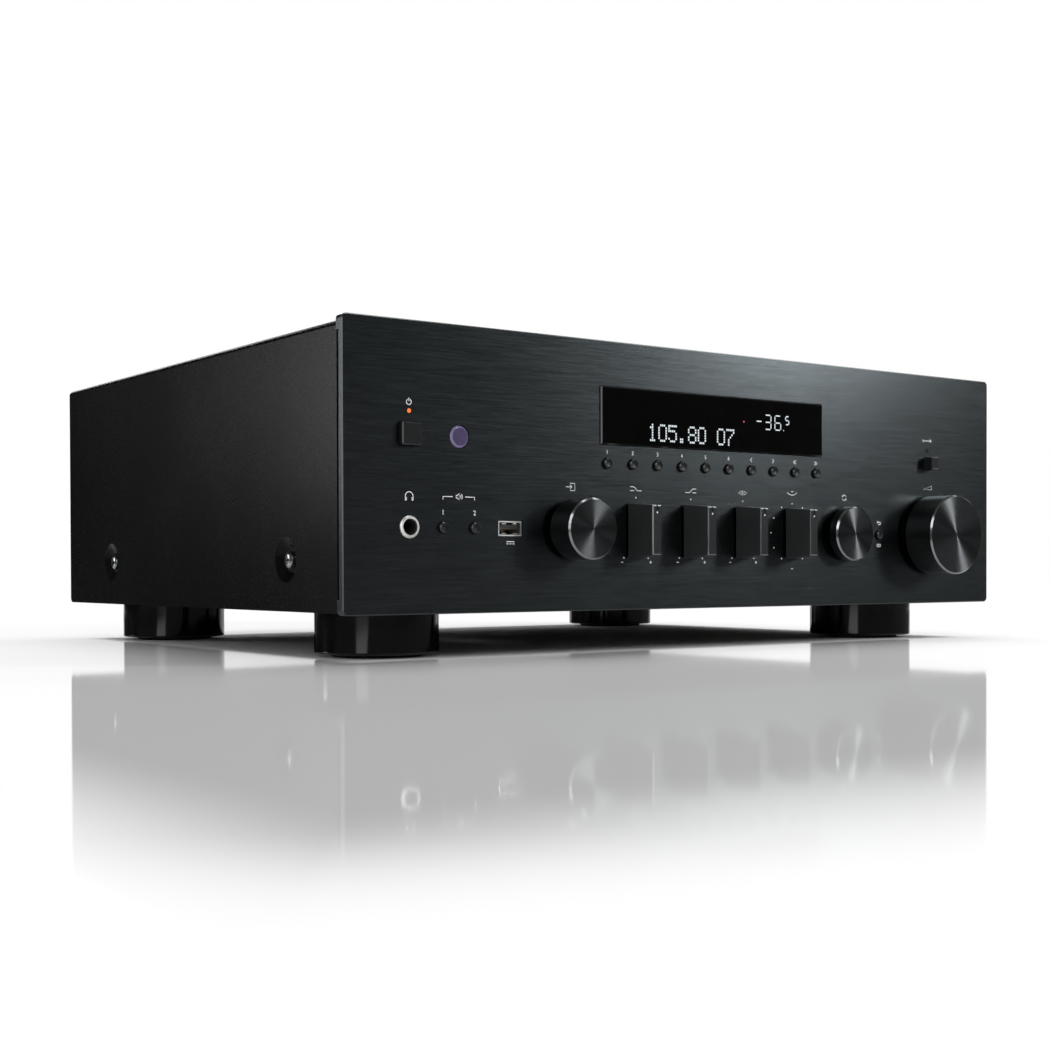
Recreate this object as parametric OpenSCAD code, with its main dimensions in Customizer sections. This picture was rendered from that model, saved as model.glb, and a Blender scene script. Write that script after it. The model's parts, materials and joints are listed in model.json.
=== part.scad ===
// Full-width stereo receiver: a brushed front panel with knobs and push buttons on a folded steel case,
// with the amplifier inside and the sockets at the rear.
// The front faces -Y. The origin is on the floor, under the middle of the overall width and depth.
// Modules draw with y = 0 on the panel's face, and placed() then moves each piece to the origin.
// Heights named _z, and distances from the middle named _x, are measured from the panel's lower edge
// and from its middle.

/* [Case] */
// Width across the front panel
body_w = 435; // [430:1:450]
// Depth from the panel's face to the cover's rear edge
body_d = 334; // [330:1:350]
// Thickness of the steel sheet
sheet_t = 1; // [0.8:0.1:1.2]
// Outside radius of the cover's bends
bend_r = 3; // [2:0.5:4]
// Width of the flange that the cover turns in round its rear opening
rear_flange = 10; // [9:0.5:12]
// How far each side of the cover lies inside the panel's end
cover_inset = 0.5; // [0.2:0.1:1]
// How far the cover's top lies below the panel's upper edge
cover_drop = 2.1; // [1.5:0.1:3]
// How far the cover's lower edge lies above the panel's lower edge
cover_lift = 0.9; // [0.5:0.1:1.5]
// Gap between the panel's rails and the cover
cover_gap = 0.4; // [0.2:0.1:1]
// Height of the tray's side walls
tray_h = 36; // [34:1:44]

/* [Cover dishes and vents] */
// Diameter of a screw dish at the cover's surface
dish_d = 21; // [18:1:24]
// Diameter of a dish's flat floor
dish_floor_d = 11; // [10:1:13]
// Depth of a dish
dish_depth = 3; // [2:0.5:4]
// Distance of the front dishes behind the panel's face
dish_front_y = 53.5; // [45:0.5:65]
// Distance of the rear dishes behind the panel's face
dish_rear_y = 267.5; // [255:0.5:285]
// Height of the dishes
dish_z = 24.5; // [22:0.5:26]
// Length of a vent slot
vent_l = 40; // [30:1:44]
// Width of a vent slot
vent_w = 5; // [3:0.5:6]
// Distance between slots in a row
vent_pitch = 12; // [10:0.5:13]
// Slots in a row
vent_cols = 22; // [12:1:26]
// Rows of slots
vent_rows = 4; // [2:1:4]
// Distance between rows
vent_row_pitch = 52; // [48:1:56]
// Middle of the vents behind the panel's face
vent_mid_y = 178; // [165:1:190]

/* [Front panel] */
// Height of the panel
panel_h = 130; // [128:1:134]
// Thickness of the panel's plate
fascia_t = 2.5; // [2:0.1:3]
// Height of the thick rails along the panel's upper and lower edges
rail_h = 7; // [6:0.5:8]
// Depth of the rails from the panel's face
rail_d = 5; // [4.5:0.1:6]
// Radius of the panel's corners
corner_r = 2.5; // [2:0.1:3]
// Bevel round the panel's face and its window
edge_c = 0.5; // [0.3:0.1:0.8]
// Thickness of the moulded frame behind the panel
frame_t = 4; // [3.6:0.1:5]
// How far the frame's ends lie inside the panel's ends
frame_inset = 1; // [0.5:0.1:2]
// Wall of the frame's rim
rim_t = 2; // [1.5:0.1:3]
// Distance from the frame's back to the front circuit board
board_gap = 11; // [10.5:0.5:14]
// Thickness of the circuit boards
board_t = 1.6; // [1.2:0.1:2]
// Width of the display window
window_w = 153; // [148:1:158]
// Height of the display window
window_h = 28.5; // [26:0.5:30]
// Height of the window's middle
window_z = 94; // [92:0.5:96]
// How far the display window stands out of the panel
window_p = 1; // [0.7:0.1:1.4]
// Bevel round the display window's face
window_c = 0.6; // [0.3:0.1:0.6]

/* [Front controls] */
// Height of the lower row of controls
row_z = 38.7; // [37:0.1:40]
// Height of the function buttons
button_z = 71; // [70:0.5:73]
// Distance between function buttons
button_pitch = 16; // [15:0.5:17]
// Height of the power and direct buttons and the receiver lens
upper_z = 79.6; // [78:0.1:82]
// Distance of the power button and the phones jack left of the middle
power_x = 184; // [180:0.5:188]
// Distance of the first speaker button left of the middle
speaker_x = 166.3; // [165:0.1:168]
// Distance between the speaker buttons
speaker_pitch = 17; // [15:0.5:18]
// Distance of the memory port left of the middle
usb_x = 129.4; // [127:0.1:132]
// Distance of the remote receiver lens left of the middle
lens_x = 157.4; // [154:0.1:161]
// Distance of the input and select knobs from the middle
selector_x = 94.2; // [92:0.1:96]
// Distance between the tone knobs
tone_pitch = 36; // [34:0.5:38]
// Distance of the return button right of the middle
return_x = 122.2; // [120:0.1:124]
// Distance of the volume knob and the direct button right of the middle
volume_x = 163.4; // [160:0.1:167]
// Height of the power indicator above the power button
power_led_rise = 10.2; // [8.5:0.1:12]
// Height of the direct indicator above the direct button
direct_led_rise = 7.3; // [6:0.1:9]

/* [Buttons] */
// Diameter of a small round button
button_d = 5; // [4.5:0.1:5.5]
// How far a small button stands out
button_p = 1.8; // [1.5:0.1:2.2]
// Bevel round a small button's face
button_c = 0.6; // [0.4:0.1:0.8]
// Travel of every push button
button_travel = 0.8; // [0.5:0.1:1]
// Width and height of the power button
power_s = 10; // [9:0.5:11]
// How far the power button stands out
power_p = 3; // [2.5:0.1:3.5]
// Width of the direct button
direct_w = 5.8; // [5:0.1:7]
// Height of the direct button
direct_h = 6.8; // [6:0.1:7.5]
// How far the direct button stands out
direct_p = 6; // [5:0.1:7]
// Width that a button's collar adds on each side, behind the frame
collar_w = 1.5; // [1.2:0.1:1.8]
// Thickness of a button's collar
collar_t = 1.5; // [1.2:0.1:1.8]
// Diameter of a button's stem
stem_d = 3; // [2.5:0.1:3.5]
// Height of the switches on the front board
switch_h = 4; // [3.5:0.1:4.5]

/* [Knobs] */
// Diameter of the volume knob
volume_d = 44.3; // [42:0.1:46]
// How far the volume knob stands out
volume_p = 20.8; // [19:0.1:22.5]
// Diameter of the input knob
input_d = 28.9; // [27.5:0.1:30]
// How far the input knob stands out
input_p = 17.6; // [16:0.1:19]
// Diameter of the select knob
select_d = 29.3; // [27.5:0.1:30]
// How far the select knob stands out
select_p = 8.4; // [7.5:0.1:9.5]
// Push of the select knob
select_travel = 0.6; // [0.4:0.1:0.8]
// Bevel round a knob's face
knob_c = 0.8; // [0.5:0.1:1]
// Height of the shadow step at the back of a round knob
knob_step = 2; // [1.8:0.1:2.4]
// Depth of that step
knob_step_in = 2.5; // [2:0.1:3]
// Wall of a round knob
knob_wall = 3; // [2.5:0.1:4]
// Gap between the knobs and the panel
knob_gap = 1; // [0.9:0.1:1.2]
// Diameter of a round knob's shaft
shaft_d = 6; // [5:0.5:7]
// Width of a tone knob's face
bar_w = 5.6; // [5:0.1:6.5]
// Height of a tone knob's face
bar_h = 24; // [22:0.5:26]
// Width that a tone knob gains towards the panel
bar_flare_w = 5.6; // [4:0.1:7]
// Height that a tone knob gains towards the panel
bar_flare_h = 2.4; // [1.5:0.1:3]
// How far a tone knob stands out
bar_p = 16; // [14:0.5:18]
// Bevel round a tone knob's face
bar_c = 0.5; // [0.3:0.1:0.7]
// Diameter of a tone knob's stem
tone_stem_d = 5; // [4:0.5:5.5]
// Width of the pointer groove in a tone knob
groove_w = 0.9; // [0.6:0.1:1.2]
// Length of the pointer groove
groove_l = 2.5; // [2:0.1:4]
// Depth of the pointer groove
groove_depth = 0.6; // [0.4:0.1:0.8]
// Width and height of a rotary control's body
control_s = 16; // [14:0.5:18]
// Depth of a rotary control's body
control_t = 8; // [7:0.5:9]
// Wall of a rotary control's bush
bush_wall = 1.5; // [1.2:0.1:2]

/* [Front sockets and lenses] */
// Bore of the phones jack
jack_bore_d = 6.4; // [6.3:0.05:6.5]
// Diameter of the jack's ring
jack_ring_d = 10; // [9.5:0.1:11]
// How far the jack's ring stands out
jack_ring_p = 1; // [0.6:0.1:1.4]
// Diameter of the jack's barrel
jack_barrel_d = 8.8; // [8.4:0.1:9.2]
// Width and height of the jack's body
jack_body_s = 15; // [13:0.5:16]
// Depth of the jack's bore from the panel's face
jack_depth = 30; // [28:0.5:34]
// Width of the memory port's shell
usb_w = 13.2; // [12.8:0.1:14]
// Height of the memory port's shell
usb_h = 6.9; // [6.5:0.1:7.2]
// Wall of the memory port's shell
usb_wall = 0.6; // [0.4:0.1:0.8]
// Width of the contact tongue
tongue_w = 10.6; // [10:0.1:11]
// Thickness of the contact tongue
tongue_t = 1.8; // [1.6:0.1:2]
// Diameter of the remote receiver lens
lens_d = 10.1; // [9:0.1:11]
// Diameter of the indicators
led_d = 2; // [1.6:0.1:2.4]

/* [Feet] */
// Height of the panel's lower edge above the floor
foot_h = 21; // [19:0.5:23]
// Diameter of a foot
foot_d = 59; // [55:0.5:62]
// Diameter of a foot's pad
pad_d = 43; // [40:0.5:46]
// How far a pad stands below its foot
pad_p = 1.6; // [1.2:0.1:2.2]
// Rounding of a foot's lower edge
foot_r = 1.2; // [0.8:0.1:2]
// Distance of the feet from the panel's ends
foot_in = 49.2; // [45.5:0.1:53.5]
// Distance of the front feet behind the panel's face
foot_front_y = 55.2; // [50:0.1:60]
// Distance of the rear feet behind the panel's face
foot_rear_y = 293.6; // [285:0.1:296]

/* [Rear sockets] */
// How far the speaker terminals stand behind the rear panel
post_p = 38.8; // [37:0.1:41]
// Distance between the speaker terminals across the panel
post_pitch = 19; // [19:0.1:20]
// Middle of the speaker terminals left of the panel's middle
post_x = 70; // [66:1:76]
// Height of the lower terminals
post_z = 40; // [34:1:44]
// Height of the upper terminals above the lower ones
post_rise = 36; // [32:1:40]
// Diameter of a terminal cap
cap_d = 14.6; // [13.5:0.1:15.5]
// Diameter of a terminal's threaded stud
stud_d = 5; // [4.5:0.1:5.5]
// Bore for a 4 mm plug in a terminal cap
plug_bore_d = 4.1; // [4:0.05:4.2]
// Depth of the plug bore
plug_depth = 16; // [14:0.5:18]
// Thickness of the terminals' moulded plate
post_plate_t = 4; // [3:0.1:5]
// Diameter of the collar under each cap
post_collar_d = 15; // [14:0.1:16]
// Height of the collar under each cap
post_collar_t = 6; // [5:0.1:7]
// Diameter of a terminal's neck through the rear panel
post_neck_d = 9; // [8:0.1:10]
// Gap between a closed cap and its collar
cap_gap = 0.5; // [0.3:0.1:0.8]
// Diameter of a phono jack's sleeve
phono_d = 8.3; // [8.2:0.05:8.4]
// How far a phono jack stands behind the rear panel
phono_p = 9.5; // [9:0.1:11]
// Diameter of a phono jack's moulded boss
phono_boss_d = 10; // [9.5:0.1:11]
// How far that boss stands behind the rear panel
phono_boss_p = 1.2; // [0.8:0.1:1.6]
// Hole for a phono plug's pin
phono_pin_d = 3.4; // [3.2:0.1:3.6]
// Depth of the bodies behind the phono jacks
phono_body_t = 11; // [9:0.5:13]
// Distance between phono jacks
phono_pitch = 18; // [17:0.5:19]
// Middle of the line jacks right of the panel's middle
phono_x = 100; // [96:1:104]
// Height of the lower line jacks
phono_z = 36; // [32:1:40]
// Height of the digital sockets
digital_z = 82; // [78:1:86]
// Distance of the network socket from the panel's end
lan_in = 33.5; // [29.5:0.5:37.5]
// Distance from the network socket to the outer optical socket
optical_step = 24; // [21:0.5:26]
// Distance between the optical sockets
optical_pitch = 17; // [15:0.5:18]
// Distance from the outer optical socket to the outer coaxial jack
coax_step = 36; // [35:0.5:40]
// Height of the block that holds the network and optical sockets
digital_h = 22; // [21.5:0.5:24]
// Width of that block's edge beside its sockets
digital_edge = 2; // [1.5:0.1:3]
// Width that the network socket takes in the block
lan_w = 16.5; // [16:0.1:17]
// Width of the network socket's opening
lan_hole_w = 12; // [11.8:0.1:12.4]
// Height of the network socket's opening
lan_hole_h = 8.6; // [8:0.1:9]
// Depth of the network socket's opening
lan_depth = 13; // [12:0.5:14]
// Width that an optical socket takes in the block
optical_s = 12; // [11:0.1:13]
// Width and height of an optical socket's opening
optical_hole_s = 8.4; // [8.2:0.1:8.8]
// Depth of an optical socket's opening
optical_depth = 9; // [8:0.5:10]
// Distance of the aerial socket from the panel's end
aerial_in = 33.5; // [29.5:0.5:39.5]
// Height of the aerial socket
aerial_z = 45; // [40:1:52]
// Distance of the mains inlet from the panel's end
inlet_in = 41.5; // [35.5:0.5:47.5]
// Height of the mains inlet
inlet_z = 48; // [44:1:60]
// Width of the mains inlet's body
inlet_w = 29; // [28:0.5:30]
// Height of the mains inlet's body
inlet_h = 21; // [20:0.5:22]
// Width of the flange round the mains inlet
inlet_flange = 3; // [2.5:0.1:4]
// Width of the mains inlet's well
inlet_hole_w = 24; // [23:0.5:25]
// Height of the mains inlet's well
inlet_hole_h = 15.6; // [15:0.1:16.5]
// Depth of the mains inlet's well
inlet_depth = 17; // [16:0.5:19]
// Diameter of the aerial socket's sleeve
aerial_d = 9.5; // [9:0.1:10]
// How far the aerial socket stands behind the rear panel
aerial_p = 10; // [8:0.5:12]
// Diameter of the moulded boss round the aerial socket's sleeve
aerial_boss_d = 12; // [11:0.1:13]
// How far that boss stands behind the rear panel
aerial_boss_p = 1.2; // [0.8:0.1:1.6]

/* [Wireless aerial] */
// Distance of the aerial's pivot from the panel's end
pivot_in = 27.5; // [23.5:0.5:33.5]
// Height of the aerial's pivot
pivot_z = 108; // [104:1:110]
// Length of the aerial from its pivot
rod_l = 96; // [85:1:105]
// Diameter of the aerial's knuckle
knuckle_d = 15; // [13:0.5:16]
// Thickness of the aerial's knuckle
knuckle_t = 9; // [8:0.5:10]
// Diameter of the pivot pin
pivot_d = 6; // [5:0.5:7]
// Depth of the aerial's moulded foot
pivot_foot_t = 8; // [6:0.5:10]
// Diameter of the foot's neck through the rear panel
aerial_neck_d = 8; // [6:0.5:10]

/* [Inside] */
// Width of the transformer's core
core_w = 96; // [90:1:104]
// Depth of the transformer's core
core_d = 56; // [50:1:62]
// Height of the transformer's core
core_h = 80; // [74:1:86]
// How far the windings stand out of the core
winding_p = 15; // [12:0.5:18]
// Distance of the transformer left of the middle
core_x = 128; // [124:1:132]
// Middle of the transformer behind the panel's face
core_y = 112; // [106:1:120]
// Length of the transformer's mounting feet
strap_l = 12; // [10:1:14]
// Thickness of the transformer's strap
strap_t = 2; // [1.5:0.1:2.5]
// Length of the heat sink
sink_l = 184; // [176:1:190]
// Height of the heat sink
sink_h = 84; // [78:1:92]
// Thickness of the heat sink's back
sink_t = 6; // [5:0.5:7]
// Length of the fins
fin_l = 30; // [26:1:32]
// Thickness of the fins
fin_t = 2; // [1.6:0.1:2.4]
// Number of fins
fin_n = 16; // [12:1:18]
// Distance of the heat sink's flat face left of the middle
sink_x = 24; // [20:1:28]
// Front end of the heat sink behind the panel's face
sink_y = 70; // [64:1:76]
// Front edge of the main board behind the panel's face
main_y = 62; // [56:1:68]
// Length of the main board
main_l = 210; // [200:1:220]
// Width of the main board
main_w = 208; // [200:1:214]
// Height of the main board's posts
post_h = 10; // [8:0.5:12]
// Diameter of a reservoir capacitor
can_d = 35; // [30:1:38]
// Height of a reservoir capacitor
can_h = 56; // [45:1:62]
// Diameter of the posts under the main board
board_post_d = 8; // [6:0.5:10]

/* [Screws] */
// Shank of a screw in the cover's sides, the feet and the transformer
side_screw_d = 4; // [3:0.5:4]
// Head of a side screw
side_head_d = 8; // [7:0.5:9]
// Height of a side screw's head
side_head_t = 2.4; // [2:0.1:2.8]
// Shank of a screw in the rear panel, the main board and the heat sink
rear_screw_d = 3; // [2.5:0.5:3]
// Head of a rear screw
rear_head_d = 6; // [5:0.5:7]
// Height of a rear screw's head
rear_head_t = 2; // [1.5:0.1:2.5]
// Length of the cover's and the board's screws
screw_l = 8; // [6:0.5:10]
// Length of a foot's screw
foot_screw_l = 19; // [18:0.5:21]
// Length of a transformer screw
core_screw_l = 4; // [3.5:0.5:5]
// Distance of the outer upper screws from the middle
rear_screw_x = 130; // [120:1:140]
// Height of the lower screws in the cover's rear flange
rear_screw_z = 60; // [55:1:66]
// Height of the upper ones above the lower ones
rear_screw_rise = 48; // [40:1:54]

/* [Clearances] */
// Gap on each side of a sliding button
slide_gap = 0.3; // [0.2:0.05:0.4]
// Gap round a turning shaft
run_gap = 0.05; // [0.03:0.01:0.08]
// Gap round a shaft in its knob
push_gap = 0.02; // [0.01:0.01:0.04]
// Gap round fixed pieces in their openings
fit_gap = 0.2; // [0.1:0.05:0.3]

/* [Hidden] */
$fn = 72;
past = 1;
base_z = foot_h;
top_z = base_z + panel_h - cover_drop;
cover_w = body_w - 2 * cover_inset;
cover_y = rail_d + cover_gap;
cover_z = base_z + cover_lift;
inner_w = cover_w - 2 * sheet_t;
inner_top = top_z - sheet_t;
tray_w = cover_w - 2 * (dish_depth + sheet_t);
tray_top = cover_z + sheet_t;
rear_y = body_d - sheet_t;
rear_in = rear_y - sheet_t;
frame_y = fascia_t + frame_t;
rim_w = inner_w - 4 * fit_gap;
rim_h = inner_top - 2 * fit_gap - tray_top;
rim_mid = tray_top + rim_h / 2 - base_z;
board_y = frame_y + board_gap;
board_back = board_y + board_t;
wall_y = board_back + sheet_t;
collar_y = frame_y + slide_gap / 2;
stem_end = board_y - switch_h - button_travel - slide_gap / 2;
control_y = board_y - control_t;
control_floor = 1.5;
shaft_end = board_y - control_floor - select_travel - slide_gap;
foot_x = body_w / 2 - foot_in;
lan_x = body_w / 2 - lan_in;
optical_x = lan_x - optical_step;
coax_x = optical_x - coax_step;
square_r = 1.2 * edge_c;
digital_w = lan_w / 2 + optical_step + optical_pitch + optical_s / 2 + 2 * digital_edge;
digital_x = lan_x + lan_w / 2 + digital_edge - digital_w / 2;
aerial_x = body_w / 2 - aerial_in;
inlet_x = body_w / 2 - inlet_in;
pivot_x = body_w / 2 - pivot_in;
overall_d = volume_p + rear_y + post_p;
front_y = volume_p - overall_d / 2;
main_top = tray_top + post_h + board_t;
button_n = 10;
tone_n = 4;
phono_cols = 6;
phono_rows = 2;
post_cols = 4;
button_names = [for (i = [1:button_n]) str("function_button_", i)];
post_rows = 2;
cap_names = [for (i = [1:post_cols * post_rows]) str("terminal_cap_", i)];
tone_names = ["bass_knob", "treble_knob", "balance_knob", "loudness_knob"];
button_xs = spread(button_n, button_pitch);
tone_xs = spread(tone_n, tone_pitch);
// Places of the small round buttons, as distance from the middle and height
small_at = concat(
  [for (x = button_xs) [x, button_z]],
  [[-speaker_x, row_z], [speaker_pitch - speaker_x, row_z], [return_x, row_z]]
);
// Places of the terminals, as distance from the middle and height
post_at = [
  for (row = [0:post_rows - 1]) for (x = spread(post_cols, post_pitch))
    [x - post_x, post_z + row * post_rise]
];
// Places of the line jacks and the coaxial jacks
line_at = [
  for (x = spread(phono_cols, phono_pitch)) for (row = [0:phono_rows - 1])
    [x + phono_x, phono_z + row * phono_pitch]
];
coax_at = [for (i = [0, 1]) [coax_x - i * phono_pitch, digital_z]];
optical_xs = [optical_x, optical_x - optical_pitch];
foot_at = [for (x = [-foot_x, foot_x]) for (y = [foot_front_y, foot_rear_y]) [x, y]];
dish_at = [for (side = [-1, 1]) for (y = [dish_front_y, dish_rear_y]) [side, y]];
// Screws in the cover's rear flange, as distance from the middle and height
flange_mid = bend_r + (rear_flange - bend_r) / 2;
rear_screw_at = concat(
  [for (x = [-1, 0, 1]) [x * rear_screw_x, panel_h - cover_drop - flange_mid]],
  [for (x = [-1, 1], rise = [0, rear_screw_rise]) [x * (cover_w / 2 - flange_mid), rear_screw_z + rise]]
);
// Seats of the foot screws' heads above the floor
foot_seat_z = 2 * pad_p + side_head_t + fit_gap;
// Places of the transformer's and the heat sink's screws
core_screw_at = [for (side = [-1, 1]) [side * (core_w + strap_l) / 2 - core_x, core_y]];
sink_screw_at = [for (end = [-1, 1]) [-sink_x - sink_t / 2, sink_y + sink_l / 2 + end * sink_l / 3]];
// Middle of the main board and the places of its posts
main_x = main_w / 2 - sink_x + 2 * sheet_t;
main_post_at = [
  for (x = [-1, 0, 1], y = [-1, 1])
    [
      main_x + x * (main_w / 2 - board_post_d),
      main_y + main_l / 2 + y * (main_l / 2 - board_post_d)
    ]
];

// Evenly spread places round zero
function spread(n, pitch) = [for (i = [0:n - 1]) (i - (n - 1) / 2) * pitch];

// Moves a piece from the panel's face to the origin
module placed() { translate([0, front_y, 0]) children(); }

// A place on the panel
module on_panel(x, z) { translate([x, 0, base_z + z]) children(); }

// A place on the rear panel's outer face
module on_rear(x, z) { translate([x, rear_y, base_z + z]) children(); }

// A plate from y to y + t, with its outline drawn in x and z
module slab(y, t) { translate([0, y + t, 0]) rotate([90, 0, 0]) linear_extrude(t) children(); }

// A round bar along Y
module rod(d, y0, y1) { translate([0, y0, 0]) rotate([-90, 0, 0]) cylinder(d = d, h = y1 - y0); }

// A turned piece whose half-section is drawn as radius and y
module turned() { rotate([-90, 0, 0]) rotate_extrude() children(); }

// A block along Y
module block(w, h, y0, y1) { translate([-w / 2, y0, -h / 2]) cube([w, y1 - y0, h]); }

// An outline in y and z drawn along X, centred
module across(w) { translate([-w / 2, 0, 0]) rotate([90, 0, 90]) linear_extrude(w) children(); }

// A rectangle with round corners
module rounded(w, h, r) {
  square([w - 2 * r, h], center = true);
  square([w, h - 2 * r], center = true);
  for (x = [-1, 1], y = [-1, 1]) translate([x * (w / 2 - r), y * (h / 2 - r)]) circle(r);
}

// A plate with its face at y = 0, round corners and a bevel c round the face
module bevel_plate(w, h, t, r, c) {
  for (x = [-1, 1], z = [-1, 1])
    translate([x * (w / 2 - r), 0, z * (h / 2 - r)])
      turned() polygon([[0, 0], [r - c, 0], [r, c], [r, t], [0, t]]);
  across(w - 2 * r)
    polygon([[0, c - h / 2], [c, -h / 2], [t, -h / 2], [t, h / 2], [c, h / 2], [0, h / 2 - c]]);
  translate([0, 0, r - h / 2]) linear_extrude(h - 2 * r)
    polygon([[c - w / 2, 0], [w / 2 - c, 0], [w / 2, c], [w / 2, t], [-w / 2, t], [-w / 2, c]]);
}

// A straight-sided taper from w0 by h0 at y0 to w1 by h1 at y1
module taper(w0, h0, w1, h1, y0, y1) {
  w = max(w0, w1);
  h = max(h0, h1);
  intersection() {
    translate([0, 0, -h / 2]) linear_extrude(h)
      polygon([[-w0 / 2, y0], [w0 / 2, y0], [w1 / 2, y1], [-w1 / 2, y1]]);
    across(w) polygon([[y0, -h0 / 2], [y1, -h1 / 2], [y1, h1 / 2], [y0, h0 / 2]]);
  }
}

// Openings that the panel and the frame share for the buttons
module button_holes(y0, y1) {
  for (p = small_at) on_panel(p.x, p.y) rod(button_d + 2 * slide_gap, y0, y1);
  power_hole = power_s + 2 * slide_gap;
  on_panel(-power_x, upper_z) block(power_hole, power_hole, y0, y1);
  on_panel(volume_x, upper_z) block(direct_w + 2 * slide_gap, direct_h + 2 * slide_gap, y0, y1);
}

// Openings that the panel and the frame share for the sockets, shafts and indicators
module socket_holes(y0, y1) {
  on_panel(-power_x, row_z) rod(jack_barrel_d + 2 * fit_gap, y0, y1);
  on_panel(-usb_x, row_z) block(usb_w + 2 * fit_gap, usb_h + 2 * fit_gap, y0, y1);
  on_panel(-power_x, upper_z + power_led_rise) rod(led_d + 2 * fit_gap, y0, y1);
  on_panel(volume_x, upper_z + direct_led_rise) rod(led_d + 2 * fit_gap, y0, y1);
  for (x = [-selector_x, selector_x, volume_x]) on_panel(x, row_z) rod(bush_d(shaft_d), y0, y1);
  for (x = tone_xs) on_panel(x, row_z) rod(bush_d(tone_stem_d), y0, y1);
}

// Opening for the bush of a control with the given shaft
function bush_d(d) = d + 2 * (run_gap + bush_wall + fit_gap);

// Front panel: brushed plate with thick rails along its long edges
module fascia() {
  color("#24282a") difference() {
    union() {
      on_panel(0, panel_h / 2) bevel_plate(body_w, panel_h, fascia_t, corner_r, edge_c);
      intersection() {
        on_panel(0, panel_h / 2) slab(edge_c, rail_d - edge_c) rounded(body_w, panel_h, corner_r);
        for (z = [rail_h / 2, panel_h - rail_h / 2]) on_panel(0, z) block(body_w, rail_h, 0, rail_d);
      }
    }
    on_panel(0, window_z) block(window_w, window_h, -past, fascia_t + past);
    on_panel(-lens_x, upper_z) rod(lens_d + 2 * fit_gap, -past, fascia_t + past);
    button_holes(-past, fascia_t + past);
    socket_holes(-past, fascia_t + past);
  }
}

// Moulded frame behind the panel, with a rim that carries the front board
module front_frame() {
  flange = 2 * (rim_t + fit_gap);
  web_h = panel_h - 2 * (rail_h + fit_gap);
  color("#17191a") difference() {
    union() {
      on_panel(0, panel_h / 2) block(body_w - 2 * frame_inset, web_h, fascia_t, rail_d);
      on_panel(0, panel_h / 2) block(rim_w, web_h, fascia_t, frame_y);
      translate([0, 0, tray_top]) slab(rail_d, board_y - rail_d) arch(rim_w, rim_h, bend_r - sheet_t);
    }
    on_panel(0, rim_mid) block(rim_w - 2 * rim_t, rim_h - 2 * rim_t, frame_y, board_y + past);
    on_panel(0, window_z) block(window_w + flange, window_h + flange, fascia_t - past, frame_y + past);
    on_panel(-lens_x, upper_z) rod(lens_d + flange, fascia_t - past, frame_y + past);
    button_holes(fascia_t - past, frame_y + past);
    socket_holes(fascia_t - past, frame_y + past);
  }
}

// Smoked window with a bevelled face, seated from behind against the panel
module display_window() {
  w = window_w - 2 * fit_gap;
  h = window_h - 2 * fit_gap;
  color("#050607") on_panel(0, window_z) {
    taper(w - 2 * window_c, h - 2 * window_c, w, h, -window_p, window_c - window_p);
    block(w, h, window_c - window_p, frame_y - fit_gap);
    block(window_w + 2 * rim_t, window_h + 2 * rim_t, fascia_t, frame_y - fit_gap);
  }
}

// Fluorescent display: a glass envelope on the front board
module display_module() {
  glass_t = 5;
  margin = 4;
  color("#30343a") on_panel(0, window_z)
    taper(window_w - margin, window_h - margin, window_w, window_h, board_y - glass_t, board_y);
}

// Tinted lens over the remote receiver
module receiver_lens() {
  r = lens_d / 2;
  dome = 0.5;
  color("#3a2b52") on_panel(-lens_x, upper_z) turned() polygon([
    [0, -dome], [r - 2 * dome, -dome], [r, dome], [r, fascia_t], [r + rim_t, fascia_t],
    [r + rim_t, fascia_t + rim_t], [r / 2, fascia_t + rim_t], [r / 2, board_y - switch_h],
    [0, board_y - switch_h]
  ]);
}

// Light pipes from the front board to the panel's face
module indicator_lenses() {
  color("#f0b060") {
    on_panel(-power_x, upper_z + power_led_rise) rod(led_d, -fit_gap, board_y);
    on_panel(volume_x, upper_z + direct_led_rise) rod(led_d, -fit_gap, board_y);
  }
}

// Headphone jack: plated ring and barrel on a moulded body
module phones_jack() {
  r = jack_barrel_d / 2;
  ring_r = jack_ring_d / 2;
  c = jack_ring_p / 2;
  bore_r = jack_bore_d / 2;
  color("#c8cacc") on_panel(-power_x, row_z) difference() {
    union() {
      turned() polygon([
        [0, -jack_ring_p], [ring_r - c, -jack_ring_p], [ring_r, -c], [ring_r, 0], [r, 0],
        [r, control_y], [0, control_y]
      ]);
      block(jack_body_s, jack_body_s, control_y, jack_depth + rim_t);
    }
    turned() polygon([
      [0, -jack_ring_p - past], [bore_r + c + past, -jack_ring_p - past], [bore_r, c - jack_ring_p],
      [bore_r, jack_depth], [0, jack_depth]
    ]);
  }
}

// Memory port: folded shell with a contact tongue
module usb_port() {
  tongue_rise = 0.8;
  lip = 0.5;
  color("#b9bcc0") on_panel(-usb_x, row_z) {
    difference() {
      block(usb_w, usb_h, lip, board_y);
      block(usb_w - 2 * usb_wall, usb_h - 2 * usb_wall, lip - past, board_y - rim_t);
    }
    translate([0, 0, tongue_rise]) block(tongue_w, tongue_t, 3 * lip, board_y - rim_t / 2);
  }
}

// Outline of the case in x and z: upright sides with round upper corners
module arch(w, h, r) {
  translate([-w / 2, 0]) square([w, h - r]);
  translate([r - w / 2, 0]) square([w - 2 * r, h]);
  for (x = [-1, 1]) translate([x * (w / 2 - r), h - r]) circle(r);
}

// Outline of the case in y and z: round corners at the rear
module rear_round(d, h, r_low, r_high) {
  square([d - max(r_low, r_high), h]);
  translate([0, r_low]) square([d, h - r_low - r_high]);
  translate([d - r_low, r_low]) circle(r_low);
  translate([d - r_high, h - r_high]) circle(r_high);
}

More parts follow.
